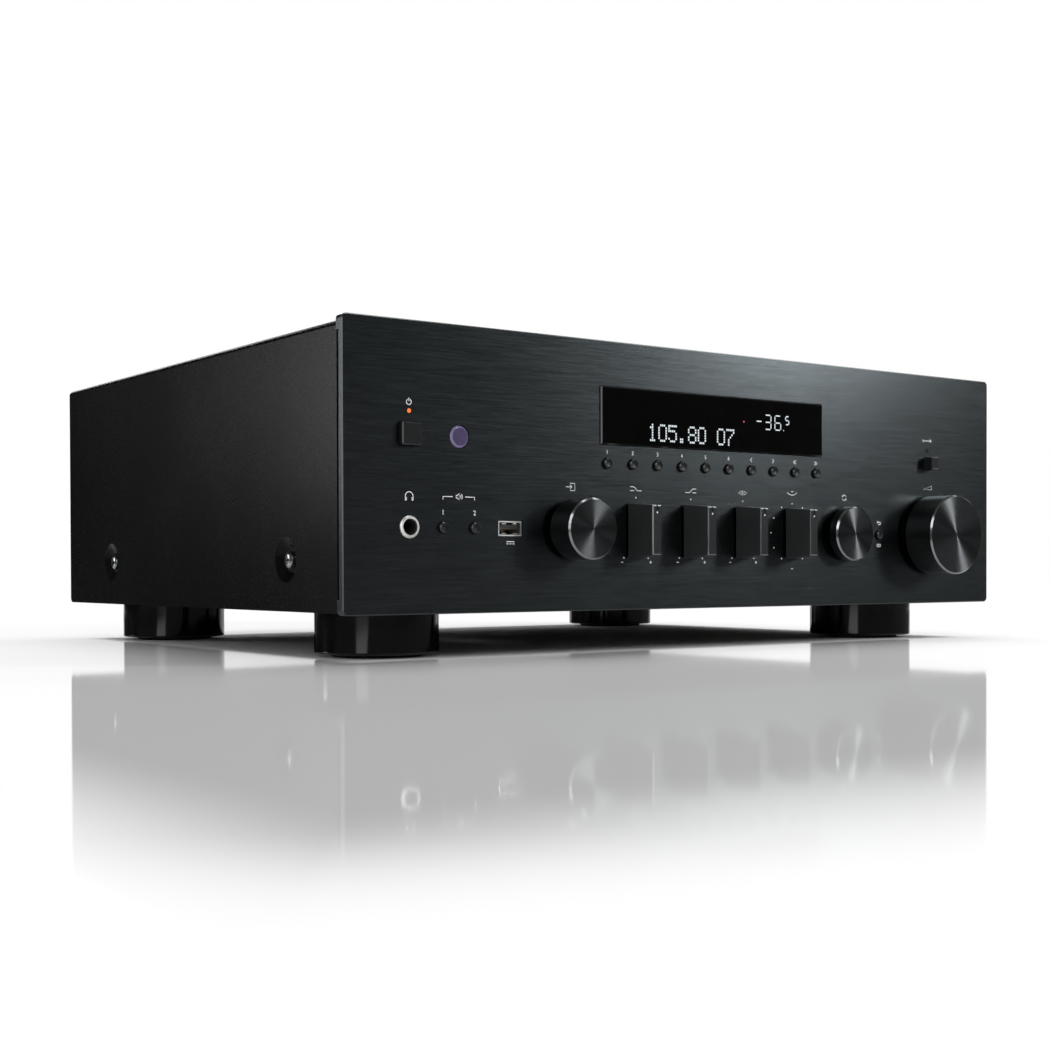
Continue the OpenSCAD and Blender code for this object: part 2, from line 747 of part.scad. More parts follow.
// A round shape on the cover's side, drawn inwards from the surface
module on_side(side, y) {
  mirror([side < 0 ? 1 : 0, 0, 0])
    translate([cover_w / 2, y, base_z + dish_z]) rotate([0, -90, 0]) children();
}

// Folded steel cover: top, two sides and a narrow flange round the rear, with pressed screw dishes
module top_cover() {
  h = top_z - cover_z;
  color("#1d1e1f") difference() {
    union() {
      difference() {
        intersection() {
          translate([0, 0, cover_z]) slab(cover_y, body_d - cover_y) arch(cover_w, h, bend_r);
          translate([0, 0, cover_z]) across(cover_w) rear_round(body_d, h, bend_r, bend_r);
        }
        intersection() {
          translate([0, 0, cover_z - past]) slab(0, body_d)
            arch(inner_w, h - sheet_t + past, bend_r - sheet_t);
          translate([0, 0, cover_z - past]) across(cover_w)
            rear_round(rear_y, h - sheet_t + past, past, bend_r - sheet_t);
        }
        translate([0, 0, cover_z - past]) slab(rear_in, 2 * sheet_t + past)
          translate([rear_flange - cover_w / 2, 0])
            square([cover_w - 2 * rear_flange, h - rear_flange + past]);
      }
      for (p = dish_at) on_side(p.x, p.y)
        cylinder(d1 = dish_d + 2 * sheet_t, d2 = dish_floor_d + 2 * sheet_t, h = dish_depth + sheet_t);
    }
    for (p = dish_at) on_side(p.x, p.y) {
      cylinder(d1 = dish_d, d2 = dish_floor_d, h = dish_depth);
      cylinder(d = side_screw_d + 2 * fit_gap, h = dish_depth + 2 * sheet_t);
    }
    for (x = spread(vent_cols, vent_pitch), y = spread(vent_rows, vent_row_pitch))
      translate([x - vent_w / 2, vent_mid_y + y - vent_l / 2, inner_top - past])
        cube([vent_w, vent_l, sheet_t + 2 * past]);
    for (p = rear_screw_at) on_panel(p.x, p.y) rod(rear_screw_d + 2 * fit_gap, rear_in, body_d + past);
  }
}

// Round-topped screw head and shank along Z, with the head above z = 0
module screw(d, head_d, head_t, l) {
  translate([0, 0, -l]) cylinder(d = d, h = l);
  rotate_extrude() polygon([
    [0, 0], [head_d / 2, 0], [head_d / 2, head_t / 2], [head_d / 3, head_t], [0, head_t]
  ]);
}

// The two sizes of screw, each with its length
module side_screw(l) { screw(side_screw_d, side_head_d, side_head_t, l); }
module rear_screw(l) { screw(rear_screw_d, rear_head_d, rear_head_t, l); }

// Screws of the cover, the feet, the transformer, the heat sink and the main board
module screws() {
  color("#8f9296") {
    for (p = dish_at) on_side(p.x, p.y) translate([0, 0, dish_depth]) mirror([0, 0, 1]) side_screw(screw_l);
    for (p = rear_screw_at) on_panel(p.x, p.y)
      translate([0, body_d, 0]) rotate([-90, 0, 0]) rear_screw(screw_l);
    for (p = foot_at) translate([p.x, p.y, foot_seat_z]) mirror([0, 0, 1]) side_screw(foot_screw_l);
    for (p = core_screw_at) translate([p.x, p.y, tray_top + strap_t]) side_screw(core_screw_l);
    for (p = sink_screw_at) translate([p.x, p.y, cover_z]) mirror([0, 0, 1]) rear_screw(screw_l);
    for (p = main_post_at) translate([p.x, p.y, main_top]) rear_screw(screw_l);
  }
}

// Upright screw hole through a sheet whose underside is at z
module sheet_hole(p, d, z) {
  translate([p.x, p.y, z - past]) cylinder(d = d + 2 * fit_gap, h = sheet_t + 2 * past);
}

// Upright blind hole from z for a screw of the rear panel's size
module screw_bore(p, z) {
  translate([p.x, p.y, z]) cylinder(d = rear_screw_d + 2 * fit_gap, h = screw_l + past);
}

// Steel tray that carries the feet, the transformer, the heat sink and the main board
module base_tray() {
  slot_n = 9;
  color("#6d7073") difference() {
    union() {
      translate([-tray_w / 2, cover_y, cover_z]) cube([tray_w, rear_in - cover_y, sheet_t]);
      for (x = [-tray_w / 2, tray_w / 2 - sheet_t])
        translate([x, wall_y, cover_z]) cube([sheet_t, rear_in - wall_y, tray_h]);
      for (p = main_post_at) translate([p.x, p.y, cover_z]) cylinder(d = board_post_d, h = sheet_t + post_h);
    }
    for (p = dish_at) on_side(p.x, p.y)
      cylinder(d = side_screw_d + 2 * fit_gap, h = dish_depth + 3 * sheet_t);
    for (y = spread(slot_n, vent_pitch))
      translate([-sink_x - sink_t - fin_l, sink_y + sink_l / 2 + y, cover_z - past])
        cube([fin_l, vent_w, sheet_t + 2 * past]);
    for (p = concat(foot_at, core_screw_at)) sheet_hole(p, side_screw_d, cover_z);
    for (p = sink_screw_at) sheet_hole(p, rear_screw_d, cover_z);
    for (p = main_post_at) screw_bore(p, main_top - screw_l - past);
  }
}

// Rear panel with the openings for its sockets
module rear_panel() {
  inner_r = bend_r - sheet_t;
  foot_w = 12;
  color("#2a2c2e") difference() {
    union() {
      translate([0, 0, tray_top]) slab(rear_in, sheet_t)
        arch(inner_w - 2 * fit_gap, inner_top - inner_r - fit_gap - tray_top, inner_r);
      translate([sheet_t + fit_gap - tray_w / 2, rear_in - foot_w, tray_top])
        cube([tray_w - 2 * (sheet_t + fit_gap), foot_w + sheet_t, sheet_t]);
    }
    for (p = concat(line_at, coax_at)) on_rear(p.x, p.y)
      rod(phono_boss_d + 2 * fit_gap, -sheet_t - past, past);
    for (p = post_at) on_rear(p.x, p.y) rod(post_neck_d + 2 * fit_gap, -sheet_t - past, past);
    on_rear(digital_x, digital_z)
      block(digital_w + 2 * fit_gap, digital_h + 2 * fit_gap, -sheet_t - past, past);
    on_rear(-inlet_x, inlet_z)
      block(inlet_w + 2 * fit_gap, inlet_h + 2 * fit_gap, -sheet_t - past, past);
    on_rear(aerial_x, aerial_z) rod(aerial_boss_d + 2 * fit_gap, -sheet_t - past, past);
    on_rear(pivot_x, pivot_z) rod(aerial_neck_d + 2 * fit_gap, -sheet_t - past, past);
    for (p = rear_screw_at) on_panel(p.x, p.y) rod(rear_screw_d + 2 * fit_gap, rear_in - past, body_d);
  }
}

// Four feet, each a turned cup with a rounded lower edge
module feet() {
  r = foot_d / 2;
  pad_r = pad_d / 2 + fit_gap;
  seat = pad_p + pad_p;
  color("#0b0c0d") for (p = foot_at) translate([p.x, p.y, 0]) difference() {
    union() {
      translate([0, 0, pad_p + foot_r]) cylinder(r = r, h = cover_z - pad_p - foot_r);
      translate([0, 0, pad_p]) cylinder(r = r - foot_r, h = foot_r);
      translate([0, 0, pad_p + foot_r]) rotate_extrude() translate([r - foot_r, 0]) circle(foot_r);
    }
    translate([0, 0, pad_p - past]) cylinder(r = pad_r, h = seat - pad_p + past);
    cylinder(d = side_head_d + 1, h = foot_seat_z);
    cylinder(d = side_screw_d + 2 * fit_gap, h = cover_z + past);
  }
}

// Soft pads under the feet
module foot_pads() {
  c = 0.6;
  r = pad_d / 2;
  color("#1a1a1a") for (p = foot_at) translate([p.x, p.y, 0])
    rotate_extrude() polygon([[0, 0], [r - c, 0], [r, c], [r, 2 * pad_p], [0, 2 * pad_p]]);
}

// Mains transformer: laminated core, windings at both ends and a clamping strap with feet
module power_transformer() {
  strap_w = 18;
  edge = 4;
  color("#4d5257") translate([-core_x, core_y, tray_top]) difference() {
    union() {
      translate([-core_w / 2, -core_d / 2, strap_t]) cube([core_w, core_d, core_h]);
      for (side = [-1, 1]) translate([0, side * core_d / 2, strap_t + core_h / 2])
        mirror([0, side < 0 ? 1 : 0, 0])
          taper(core_w - 2 * winding_p, core_h - 2 * edge, core_w - 3 * winding_p, core_h - 6 * edge,
                -edge, winding_p);
      for (side = [-1, 1]) translate([side * (core_w + strap_l) / 2, 0, 0])
        translate([-strap_l / 2 - edge, -strap_w / 2, 0]) cube([strap_l + edge, strap_w, strap_t]);
      translate([-core_w / 2 - strap_t, -strap_w / 2, 0])
        cube([core_w + 2 * strap_t, strap_w, core_h + 2 * strap_t]);
    }
    for (side = [-1, 1]) translate([side * (core_w + strap_l) / 2, 0, -past])
      cylinder(d = side_screw_d + 2 * fit_gap, h = strap_t + 2 * past);
  }
}

// Extruded heat sink with upright fins
module heat_sink() {
  fin_pitch = (sink_l - fin_t) / (fin_n - 1);
  color("#3b3e41") difference() {
    translate([-sink_x, sink_y, tray_top]) {
      translate([-sink_t, 0, 0]) cube([sink_t, sink_l, sink_h]);
      for (i = [0:fin_n - 1])
        translate([-sink_t - fin_l, i * fin_pitch, 0]) cube([fin_l + past, fin_t, sink_h]);
    }
    for (p = sink_screw_at) screw_bore(p, cover_z);
  }
}

// Reservoir capacitors on the main board and power transistors on the heat sink
module power_components() {
  can_n = 2;
  bead = 2;
  tab = [5, 16, 21];
  leg = [1, 1.2];
  tab_z = main_top + 18;
  color("#101214") {
    for (i = [0:can_n - 1])
      translate([main_x - main_w / 4, main_y + main_l / 4 + i * (can_d + 2 * bead), main_top])
        rotate_extrude() polygon([
          [0, 0], [can_d / 2, 0], [can_d / 2, bead], [can_d / 2 - bead / 2, 2 * bead],
          [can_d / 2, 3 * bead], [can_d / 2, can_h - bead / 2], [can_d / 2 - bead / 2, can_h], [0, can_h]
        ]);
    for (y = spread(4, sink_l / 5)) translate([-sink_x, sink_y + sink_l / 2 + y, 0]) {
      translate([0, -tab.y / 2, tab_z]) cube(tab);
      for (k = [-1, 0, 1]) translate([tab.x - leg.x, k * tab.y / 3 - leg.y / 2, main_top])
        cube([leg.x, leg.y, tab_z - main_top + past]);
    }
  }
}

// Main amplifier board on the tray's posts
module main_board() {
  color("#23512f") difference() {
    translate([main_x - main_w / 2, main_y, main_top - board_t]) cube([main_w, main_l, board_t]);
    for (p = main_post_at) screw_bore(p, main_top - screw_l);
  }
}

// Front board behind the frame's rim, with a switch behind each button
module front_board() {
  switch_s = 6;
  plunger_d = 3.4;
  plunger_t = 1;
  lift = 1;
  color("#1f4a2b") difference() {
    union() {
      on_panel(0, rim_mid + lift / 2) block(rim_w - rim_t, rim_h - lift - rim_t, board_y, board_back);
      for (p = concat(small_at, [[-power_x, upper_z], [volume_x, upper_z]])) on_panel(p.x, p.y) {
        block(switch_s, switch_s, board_y - switch_h + plunger_t, board_y + board_t / 2);
        rod(plunger_d, board_y - switch_h, board_y);
      }
      on_panel(-lens_x, upper_z) block(switch_s, switch_s, board_y - switch_h, board_y + board_t / 2);
    }
    on_panel(-power_x, row_z)
      block(jack_body_s + 2 * fit_gap, jack_body_s + 2 * fit_gap, board_y - past, board_back + past);
  }
}

// Rotary controls on the front board, each with a bush through the frame
module control_bodies() {
  places = concat(
    [for (x = [-selector_x, selector_x, volume_x]) [x, shaft_d]],
    [for (x = tone_xs) [x, tone_stem_d]]
  );
  color("#75797d") for (p = places) on_panel(p.x, row_z) {
    bore = p.y + 2 * run_gap;
    difference() {
      union() {
        block(control_s, control_s, control_y, board_y);
        rod(bore + 2 * bush_wall, fascia_t, control_y + past);
      }
      rod(bore, fascia_t - past, board_y - control_floor);
    }
  }
}

// Round push button with a collar behind the frame and a stem towards its switch
module round_button(x, z) {
  r = button_d / 2;
  dip = 0.2;
  on_panel(x, z) turned() polygon([
    [0, dip - button_p], [r - button_c, -button_p], [r, button_c - button_p], [r, collar_y],
    [r + collar_w, collar_y], [r + collar_w, collar_y + collar_t], [stem_d / 2, collar_y + collar_t],
    [stem_d / 2, stem_end], [0, stem_end]
  ]);
}

// Square push button with a collar behind the frame and a stem towards its switch
module square_button(x, z, w, h, p) {
  on_panel(x, z) {
    translate([0, -p, 0]) bevel_plate(w, h, p + collar_y + collar_t / 2, square_r, edge_c);
    block(w + 2 * collar_w, h + 2 * collar_w, collar_y, collar_y + collar_t);
    rod(stem_d, collar_y, stem_end);
  }
}

module function_button(i) { color("#2b2f31") round_button(button_xs[i], button_z); }
module speaker_a_button() { color("#2b2f31") round_button(-speaker_x, row_z); }
module speaker_b_button() { color("#2b2f31") round_button(speaker_pitch - speaker_x, row_z); }
module return_button() { color("#2b2f31") round_button(return_x, row_z); }
module power_button() { color("#1b1e1f") square_button(-power_x, upper_z, power_s, power_s, power_p); }
module direct_button() { color("#2b2f31") square_button(volume_x, upper_z, direct_w, direct_h, direct_p); }

// Round knob: turned cup with a bevelled face, a shadow step and a hub round the shaft
module round_knob(x, d, p, bore_gap) {
  r = d / 2;
  step_r = r - knob_step_in;
  bore_r = shaft_d / 2 + bore_gap;
  hub_r = bore_r + bush_wall;
  roof = p - knob_wall;
  on_panel(x, row_z) turned() polygon([
    [0, -p], [r - knob_c, -p], [r, knob_c - p], [r, -knob_gap - knob_step],
    [step_r, -knob_gap - knob_step], [step_r, -knob_gap], [step_r - knob_wall, -knob_gap],
    [step_r - knob_wall, -roof], [hub_r, -roof], [hub_r, -knob_gap], [bore_r, -knob_gap],
    [bore_r, -roof], [0, -roof]
  ]);
}

// Shaft from a knob's hub into its rotary control
module knob_shaft(x, p) { on_panel(x, row_z) rod(shaft_d, knob_wall - p, shaft_end); }

module input_knob() { color("#2a2e30") round_knob(-selector_x, input_d, input_p, push_gap); }
module input_shaft() { color("#a9acaf") knob_shaft(-selector_x, input_p); }
module select_knob() { color("#2a2e30") round_knob(selector_x, select_d, select_p, run_gap); }
module select_shaft() { color("#a9acaf") knob_shaft(selector_x, select_p); }
module volume_knob() { color("#2a2e30") round_knob(volume_x, volume_d, volume_p, push_gap); }
module volume_shaft() { color("#a9acaf") knob_shaft(volume_x, volume_p); }

// Tone knob: a wedge that narrows to its face, with a pointer groove and a moulded stem
module tone_knob(x) {
  color("#2a2e30") on_panel(x, row_z) difference() {
    union() {
      taper(bar_w - 2 * bar_c, bar_h - 2 * bar_c, bar_w, bar_h, -bar_p, bar_c - bar_p);
      taper(bar_w, bar_h, bar_w + bar_flare_w, bar_h + bar_flare_h, bar_c - bar_p, -knob_gap);
      rod(tone_stem_d, -knob_gap - past, shaft_end);
    }
    translate([-groove_w / 2, -bar_p - past, bar_h / 2 - groove_l])
      cube([groove_w, groove_depth + past, groove_l + past]);
  }
}

// Phono jacks: a moulded body behind the panel for each column, with a plated sleeve per jack
module phono_jacks() {
  color("#c9cbcd") {
    for (x = spread(phono_cols, phono_pitch)) on_rear(x + phono_x, phono_z) difference() {
      union() {
        translate([0, 0, phono_pitch * (phono_rows - 1) / 2])
          block(phono_pitch - 2, phono_pitch * phono_rows - 2, -sheet_t - phono_body_t, -sheet_t);
        for (row = [0:phono_rows - 1]) translate([0, 0, row * phono_pitch]) phono_sleeve();
      }
      for (row = [0:phono_rows - 1]) translate([0, 0, row * phono_pitch]) phono_bore();
    }
    for (p = coax_at) on_rear(p.x, p.y) difference() {
      union() {
        block(phono_pitch - 2, phono_pitch - 2, -sheet_t - phono_body_t, -sheet_t);
        phono_sleeve();
      }
      phono_bore();
    }
  }
}

// Boss and sleeve of one phono jack
module phono_sleeve() {
  rod(phono_boss_d, -sheet_t - past, phono_boss_p);
  rod(phono_d, 0, phono_p);
}

// Hole for a phono plug's pin
module phono_bore() { rod(phono_pin_d, 0, phono_p + past); }

// Moulded terminal plates with a collar and a threaded stud for each cap
module speaker_terminals() {
  plate_w = (post_cols - 1) * post_pitch + post_collar_d + 8;
  plate_h = post_collar_d + 8;
  stud_end = post_p - plug_depth - slide_gap;
  color("#121314") for (z = [post_z, post_z + post_rise]) {
    on_rear(-post_x, z) slab(0, post_plate_t) rounded(plate_w, plate_h, corner_r);
    for (x = spread(post_cols, post_pitch)) on_rear(x - post_x, z) {
      rod(post_neck_d, -sheet_t - 2 * past, past);
      rod(post_collar_d, post_plate_t - past, post_plate_t + post_collar_t);
      rod(stud_d, post_plate_t, stud_end);
    }
  }
}

// Fluted cap of one speaker terminal, bored for the stud and for a plug
module terminal_cap(i) {
  flute_n = 12;
  flute_d = 1.8;
  r = cap_d / 2;
  y0 = post_plate_t + post_collar_t + cap_gap;
  c = 1;
  stud_r = stud_d / 2 + run_gap;
  p = post_at[i];
  color(i % 2 == 0 ? "#a51c1c" : "#161718") on_rear(p.x, p.y) difference() {
    turned() polygon([
      [plug_bore_d / 2, post_p], [r - c, post_p], [r, post_p - c], [r, y0 + c], [r - c, y0], [stud_r, y0],
      [stud_r, post_p - plug_depth], [plug_bore_d / 2, post_p - plug_depth]
    ]);
    for (k = [0:flute_n - 1]) rotate([0, k * 360 / flute_n, 0]) translate([r, 0, 0])
      rod(flute_d, y0 - past, post_p + past);
  }
}

// Moulded block with the network socket and the optical sockets
module digital_sockets() {
  back = 3;
  lip = 1;
  color("#b4b7ba") difference() {
    on_rear(digital_x, digital_z) block(digital_w, digital_h, lip - lan_depth - back, lip);
    on_rear(lan_x, digital_z) block(lan_hole_w, lan_hole_h, lip - lan_depth, lip + past);
    for (x = optical_xs) on_rear(x, digital_z)
      block(optical_hole_s, optical_hole_s, lip - optical_depth, lip + past);
  }
}

// Mains inlet with two flat pins in a moulded well
module mains_inlet() {
  flange_t = 2;
  wall = 2;
  pin = [2.4, 4.6];
  pin_x = 5;
  pin_short = 4;
  corner = 3;
  color("#141516") on_rear(-inlet_x, inlet_z) {
    difference() {
      union() {
        slab(0, flange_t) rounded(inlet_w + 2 * inlet_flange, inlet_h + 2 * inlet_flange, corner);
        block(inlet_w, inlet_h, flange_t - inlet_depth - wall, flange_t);
      }
      block(inlet_hole_w, inlet_hole_h, flange_t - inlet_depth, flange_t + past);
    }
    for (x = [-pin_x, pin_x]) translate([x, 0, 0])
      block(pin.x, pin.y, flange_t - inlet_depth - wall / 2, flange_t - pin_short);
  }
}

// Coaxial aerial socket with a plated sleeve
module aerial_socket() {
  body_s = 16;
  body_t = 10;
  hole_d = 2.4;
  color("#c9cbcd") on_rear(aerial_x, aerial_z) difference() {
    union() {
      block(body_s, body_s, -sheet_t - body_t, -sheet_t);
      rod(aerial_boss_d, -sheet_t - past, aerial_boss_p);
      rod(aerial_d, 0, aerial_p);
    }
    rod(hole_d, 0, aerial_p + past);
  }
}

// Fixed foot of the wireless aerial, with its riveted pivot pin
module aerial_foot() {
  head_d = pivot_d + 4;
  head_t = 1.5;
  pin_end = pivot_foot_t + knuckle_t + 2 * slide_gap;
  color("#131415") on_rear(pivot_x, pivot_z) {
    rod(aerial_neck_d, -sheet_t - 2 * past, past);
    rod(knuckle_d + 2, 0, pivot_foot_t);
    rod(pivot_d, pivot_foot_t - past, pin_end + past);
    turned() polygon([
      [0, pin_end], [head_d / 2, pin_end], [head_d / 2, pin_end + head_t / 2],
      [pivot_d / 2, pin_end + head_t], [0, pin_end + head_t]
    ]);
  }
}

// Swinging aerial: a knuckle on the pin and a slim rod, folded level behind the case
module wireless_aerial() {
  y0 = pivot_foot_t + slide_gap;
  y_mid = y0 + knuckle_t / 2;
  root_d = knuckle_t - 0.6;
  tip_d = 6;
  color("#131415") on_rear(pivot_x, pivot_z) difference() {
    union() {
      rod(knuckle_d, y0, y0 + knuckle_t);
      translate([0, y_mid, 0]) rotate([0, -90, 0]) cylinder(d1 = root_d, d2 = tip_d, h = rod_l - tip_d / 2);
      translate([tip_d / 2 - rod_l, y_mid, 0]) sphere(d = tip_d);
    }
    rod(pivot_d + 2 * run_gap, y0 - past, y0 + knuckle_t + past);
  }
}

placed() fascia();
placed() front_frame();
placed() display_window();
placed() display_module();
placed() receiver_lens();
placed() indicator_lenses();
placed() phones_jack();
placed() usb_port();
placed() top_cover();
placed() base_tray();
placed() rear_panel();
placed() feet();
placed() foot_pads();
placed() screws();
placed() power_transformer();
placed() heat_sink();
placed() power_components();
placed() main_board();
placed() front_board();
placed() control_bodies();
placed() phono_jacks();
placed() speaker_terminals();
placed() digital_sockets();
placed() mains_inlet();
placed() aerial_socket();
placed() aerial_foot();
placed() wireless_aerial();
placed() power_button();
placed() speaker_a_button();
placed() speaker_b_button();
placed() return_button();
placed() direct_button();
placed() input_knob();
placed() input_shaft();
placed() select_knob();
placed() select_shaft();
placed() volume_knob();
placed() volume_shaft();
for (i = [0:button_n - 1])
  placed() function_button(i);
for (i = [0:tone_n - 1])
  placed() tone_knob(tone_xs[i]);
for (i = [0:len(post_at) - 1])
  placed() terminal_cap(i);
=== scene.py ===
import json
import math

import bmesh
import bpy
from mathutils import Matrix, Vector


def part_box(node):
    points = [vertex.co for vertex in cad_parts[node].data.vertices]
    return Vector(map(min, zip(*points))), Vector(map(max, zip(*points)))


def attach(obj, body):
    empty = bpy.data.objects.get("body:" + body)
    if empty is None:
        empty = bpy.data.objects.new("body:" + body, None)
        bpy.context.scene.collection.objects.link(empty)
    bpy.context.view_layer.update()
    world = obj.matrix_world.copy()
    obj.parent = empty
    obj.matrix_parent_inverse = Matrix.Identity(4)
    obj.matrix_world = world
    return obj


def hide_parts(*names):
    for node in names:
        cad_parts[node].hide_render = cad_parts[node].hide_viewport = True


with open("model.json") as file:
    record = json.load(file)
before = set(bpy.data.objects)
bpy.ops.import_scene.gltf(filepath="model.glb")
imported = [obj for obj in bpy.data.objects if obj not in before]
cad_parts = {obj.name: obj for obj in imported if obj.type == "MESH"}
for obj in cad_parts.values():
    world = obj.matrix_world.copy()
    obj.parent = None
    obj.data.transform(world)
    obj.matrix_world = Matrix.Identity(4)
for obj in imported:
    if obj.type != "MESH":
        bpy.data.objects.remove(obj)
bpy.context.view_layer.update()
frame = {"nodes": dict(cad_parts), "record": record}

record = frame["record"]
cadNodes = frame["nodes"]
bodyOf = {n: body for body, members in record["behaviour"]["bodies"].items() for n in members}
slotOf = {part["node"]: part["material_slot"] for part in record["subparts"]}
mountAt = {m["name"]: Vector(m["pos_m"]) for m in record["mounts"]}
mm = 0.001
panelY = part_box("fascia")[0].y  # the panel's face
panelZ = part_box("fascia")[0].z  # the panel's lower edge
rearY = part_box("rear_panel")[1].y  # the rear panel's outer face
scene = bpy.context.scene
print("frame loaded:", len(cadNodes), "nodes")


# places are in millimetres from the panel's middle and lower edge, and out of the surface
def frontAt(x, z, out=0.0):
    return Vector((x * mm, panelY - out * mm, panelZ + z * mm))


def rearAt(x, z, out=0.0):
    return Vector((x * mm, rearY + out * mm, panelZ + z * mm))


def middleOf(node):
    low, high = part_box(node)
    return (low + high) / 2


def addNode(tree, kind, values=None, **settings):
    node = tree.nodes.new(kind)
    for key, value in settings.items():
        setattr(node, key, value)
    for key, value in (values or {}).items():
        if isinstance(value, bpy.types.NodeSocket):
            tree.links.new(value, node.inputs[key])
        else:
            node.inputs[key].default_value = value
    return node


def math2(tree, operation, a, b=0.0, clamp=False):
    return addNode(tree, "ShaderNodeMath", {0: a, 1: b}, operation=operation, use_clamp=clamp).outputs[0]


def span(tree, value, low, high):
    return addNode(tree, "ShaderNodeMapRange", {"Value": value, "To Min": low, "To Max": high}).outputs[0]


def tint(tree, factor, dark, light):
    mix = addNode(tree, "ShaderNodeMix", data_type="RGBA")
    for socket, value in ((mix.inputs[0], factor), (mix.inputs[6], dark), (mix.inputs[7], light)):
        if isinstance(value, bpy.types.NodeSocket):
            tree.links.new(value, socket)
        else:
            socket.default_value = (*value, 1.0) if isinstance(value, tuple) else value
    return mix.outputs[2]


def weighted(tree, first, share, second, rest):
    return math2(tree, "ADD", math2(tree, "MULTIPLY", first, share), math2(tree, "MULTIPLY", second, rest))


def makeGroup(name, ins, outs):
    group = bpy.data.node_groups.new(name, "ShaderNodeTree")
    for label, kind, value in ins:
        socket = group.interface.new_socket(label, in_out="INPUT", socket_type=kind)
        if value is not None:
            socket.default_value = value
    for label in outs:
        group.interface.new_socket(label, in_out="OUTPUT", socket_type="NodeSocketFloat")
    return group, group.nodes.new("NodeGroupInput").outputs, group.nodes.new("NodeGroupOutput").inputs


# lengthwise scratches of a brushed surface
brushGrain, ins, outs = makeGroup(
    "brushGrain",
    [("Vector", "NodeSocketVector", None), ("Stretch", "NodeSocketVector", (18, 300, 850)),
     ("Contrast", "NodeSocketFloat", 1.6)],
    ["Tone", "Height"])
stretched = addNode(brushGrain, "ShaderNodeVectorMath", {0: ins["Vector"], 1: ins["Stretch"]}, operation="MULTIPLY")
coarse = addNode(brushGrain, "ShaderNodeTexNoise",
                 {"Vector": stretched.outputs[0], "Scale": 1.0, "Detail": 3.0, "Roughness": 0.6})
fine = addNode(brushGrain, "ShaderNodeTexNoise",
               {"Vector": stretched.outputs[0], "Scale": 2.6, "Detail": 2.0, "Roughness": 0.7})
both = weighted(brushGrain, coarse.outputs[0], 0.6, fine.outputs[0], 0.4)
centred = math2(brushGrain, "MULTIPLY", math2(brushGrain, "SUBTRACT", both, 0.5), ins["Contrast"])
brushGrain.links.new(math2(brushGrain, "ADD", centred, 0.5, clamp=True), outs["Tone"])
brushGrain.links.new(both, outs["Height"])

# fine pebbles of powder paint and moulded plastic
pebbleCoat, ins, outs = makeGroup(
    "pebbleCoat",
    [("Vector", "NodeSocketVector", None), ("Grain", "NodeSocketFloat", 1100.0)],
    ["Height", "Tone"])
grains = addNode(pebbleCoat, "ShaderNodeTexNoise",
                 {"Vector": ins["Vector"], "Scale": ins["Grain"], "Detail": 2.0, "Roughness": 0.55})
cells = addNode(pebbleCoat, "ShaderNodeTexVoronoi", {"Vector": ins["Vector"], "Scale": ins["Grain"]},
                feature="SMOOTH_F1")
height = weighted(pebbleCoat, grains.outputs[0], 1.3, cells.outputs[0], -0.6)
pebbleCoat.links.new(height, outs["Height"])
paleness = math2(pebbleCoat, "MULTIPLY", height, 0.9)
pebbleCoat.links.new(math2(pebbleCoat, "ADD", paleness, 0.3, clamp=True), outs["Tone"])

# slow unevenness of a handled or rolled surface
softSmudge, ins, outs = makeGroup(
    "softSmudge",
    [("Vector", "NodeSocketVector", None), ("Size", "NodeSocketFloat", 30.0)],
    ["Value"])
blotch = addNode(softSmudge, "ShaderNodeTexNoise",
                 {"Vector": ins["Vector"], "Scale": ins["Size"], "Detail": 4.0, "Roughness": 0.55})
spread = addNode(softSmudge, "ShaderNodeMapRange", {"Value": blotch.outputs[0], "From Min": 0.3, "From Max": 0.7})
softSmudge.links.new(spread.outputs[0], outs["Value"])


def useGroup(tree, group, values):
    node = addNode(tree, "ShaderNodeGroup", node_tree=group)
    for key, value in values.items():
        if isinstance(value, bpy.types.NodeSocket):
            tree.links.new(value, node.inputs[key])
        else:
            node.inputs[key].default_value = value
    return node.outputs


def startFinish(name, **constants):
    finish = bpy.data.materials.new(name)
    finish.use_nodes = True
    tree = finish.node_tree
    shader = tree.nodes["Principled BSDF"]
    for key, value in constants.items():
        shader.inputs[key].default_value = value
    where = addNode(tree, "ShaderNodeTexCoord").outputs["Object"]
    return finish, tree, shader.inputs, where


def bumpInto(tree, sockets, height, strength, distance):
    bump = addNode(tree, "ShaderNodeBump", {"Height": height, "Strength": strength, "Distance": distance})
    tree.links.new(bump.outputs[0], sockets["Normal"])


# brushed and anodised sheet: grain lies along one axis, and the highlight is drawn out across it
def brushedFinish(name, dark, light, rough, stretch, contrast, metallic, anisotropy, tilt=0.12):
    finish, tree, sockets, where = startFinish(name, Metallic=metallic, Anisotropic=anisotropy)
    grain = useGroup(tree, brushGrain, {"Vector": where, "Stretch": stretch, "Contrast": contrast})
    tree.links.new(tint(tree, grain["Tone"], dark, light), sockets["Base Color"])
    smudge = useGroup(tree, softSmudge, {"Vector": where, "Size": 14.0})
    uneven = weighted(tree, grain["Tone"], 0.7, smudge["Value"], 0.3)
    tree.links.new(span(tree, uneven, *rough), sockets["Roughness"])
    bumpInto(tree, sockets, grain["Height"], tilt, 0.00005)
    across = addNode(tree, "ShaderNodeTangent", direction_type="UV_MAP", uv_map="grain")
    tree.links.new(across.outputs[0], sockets["Tangent"])
    return finish


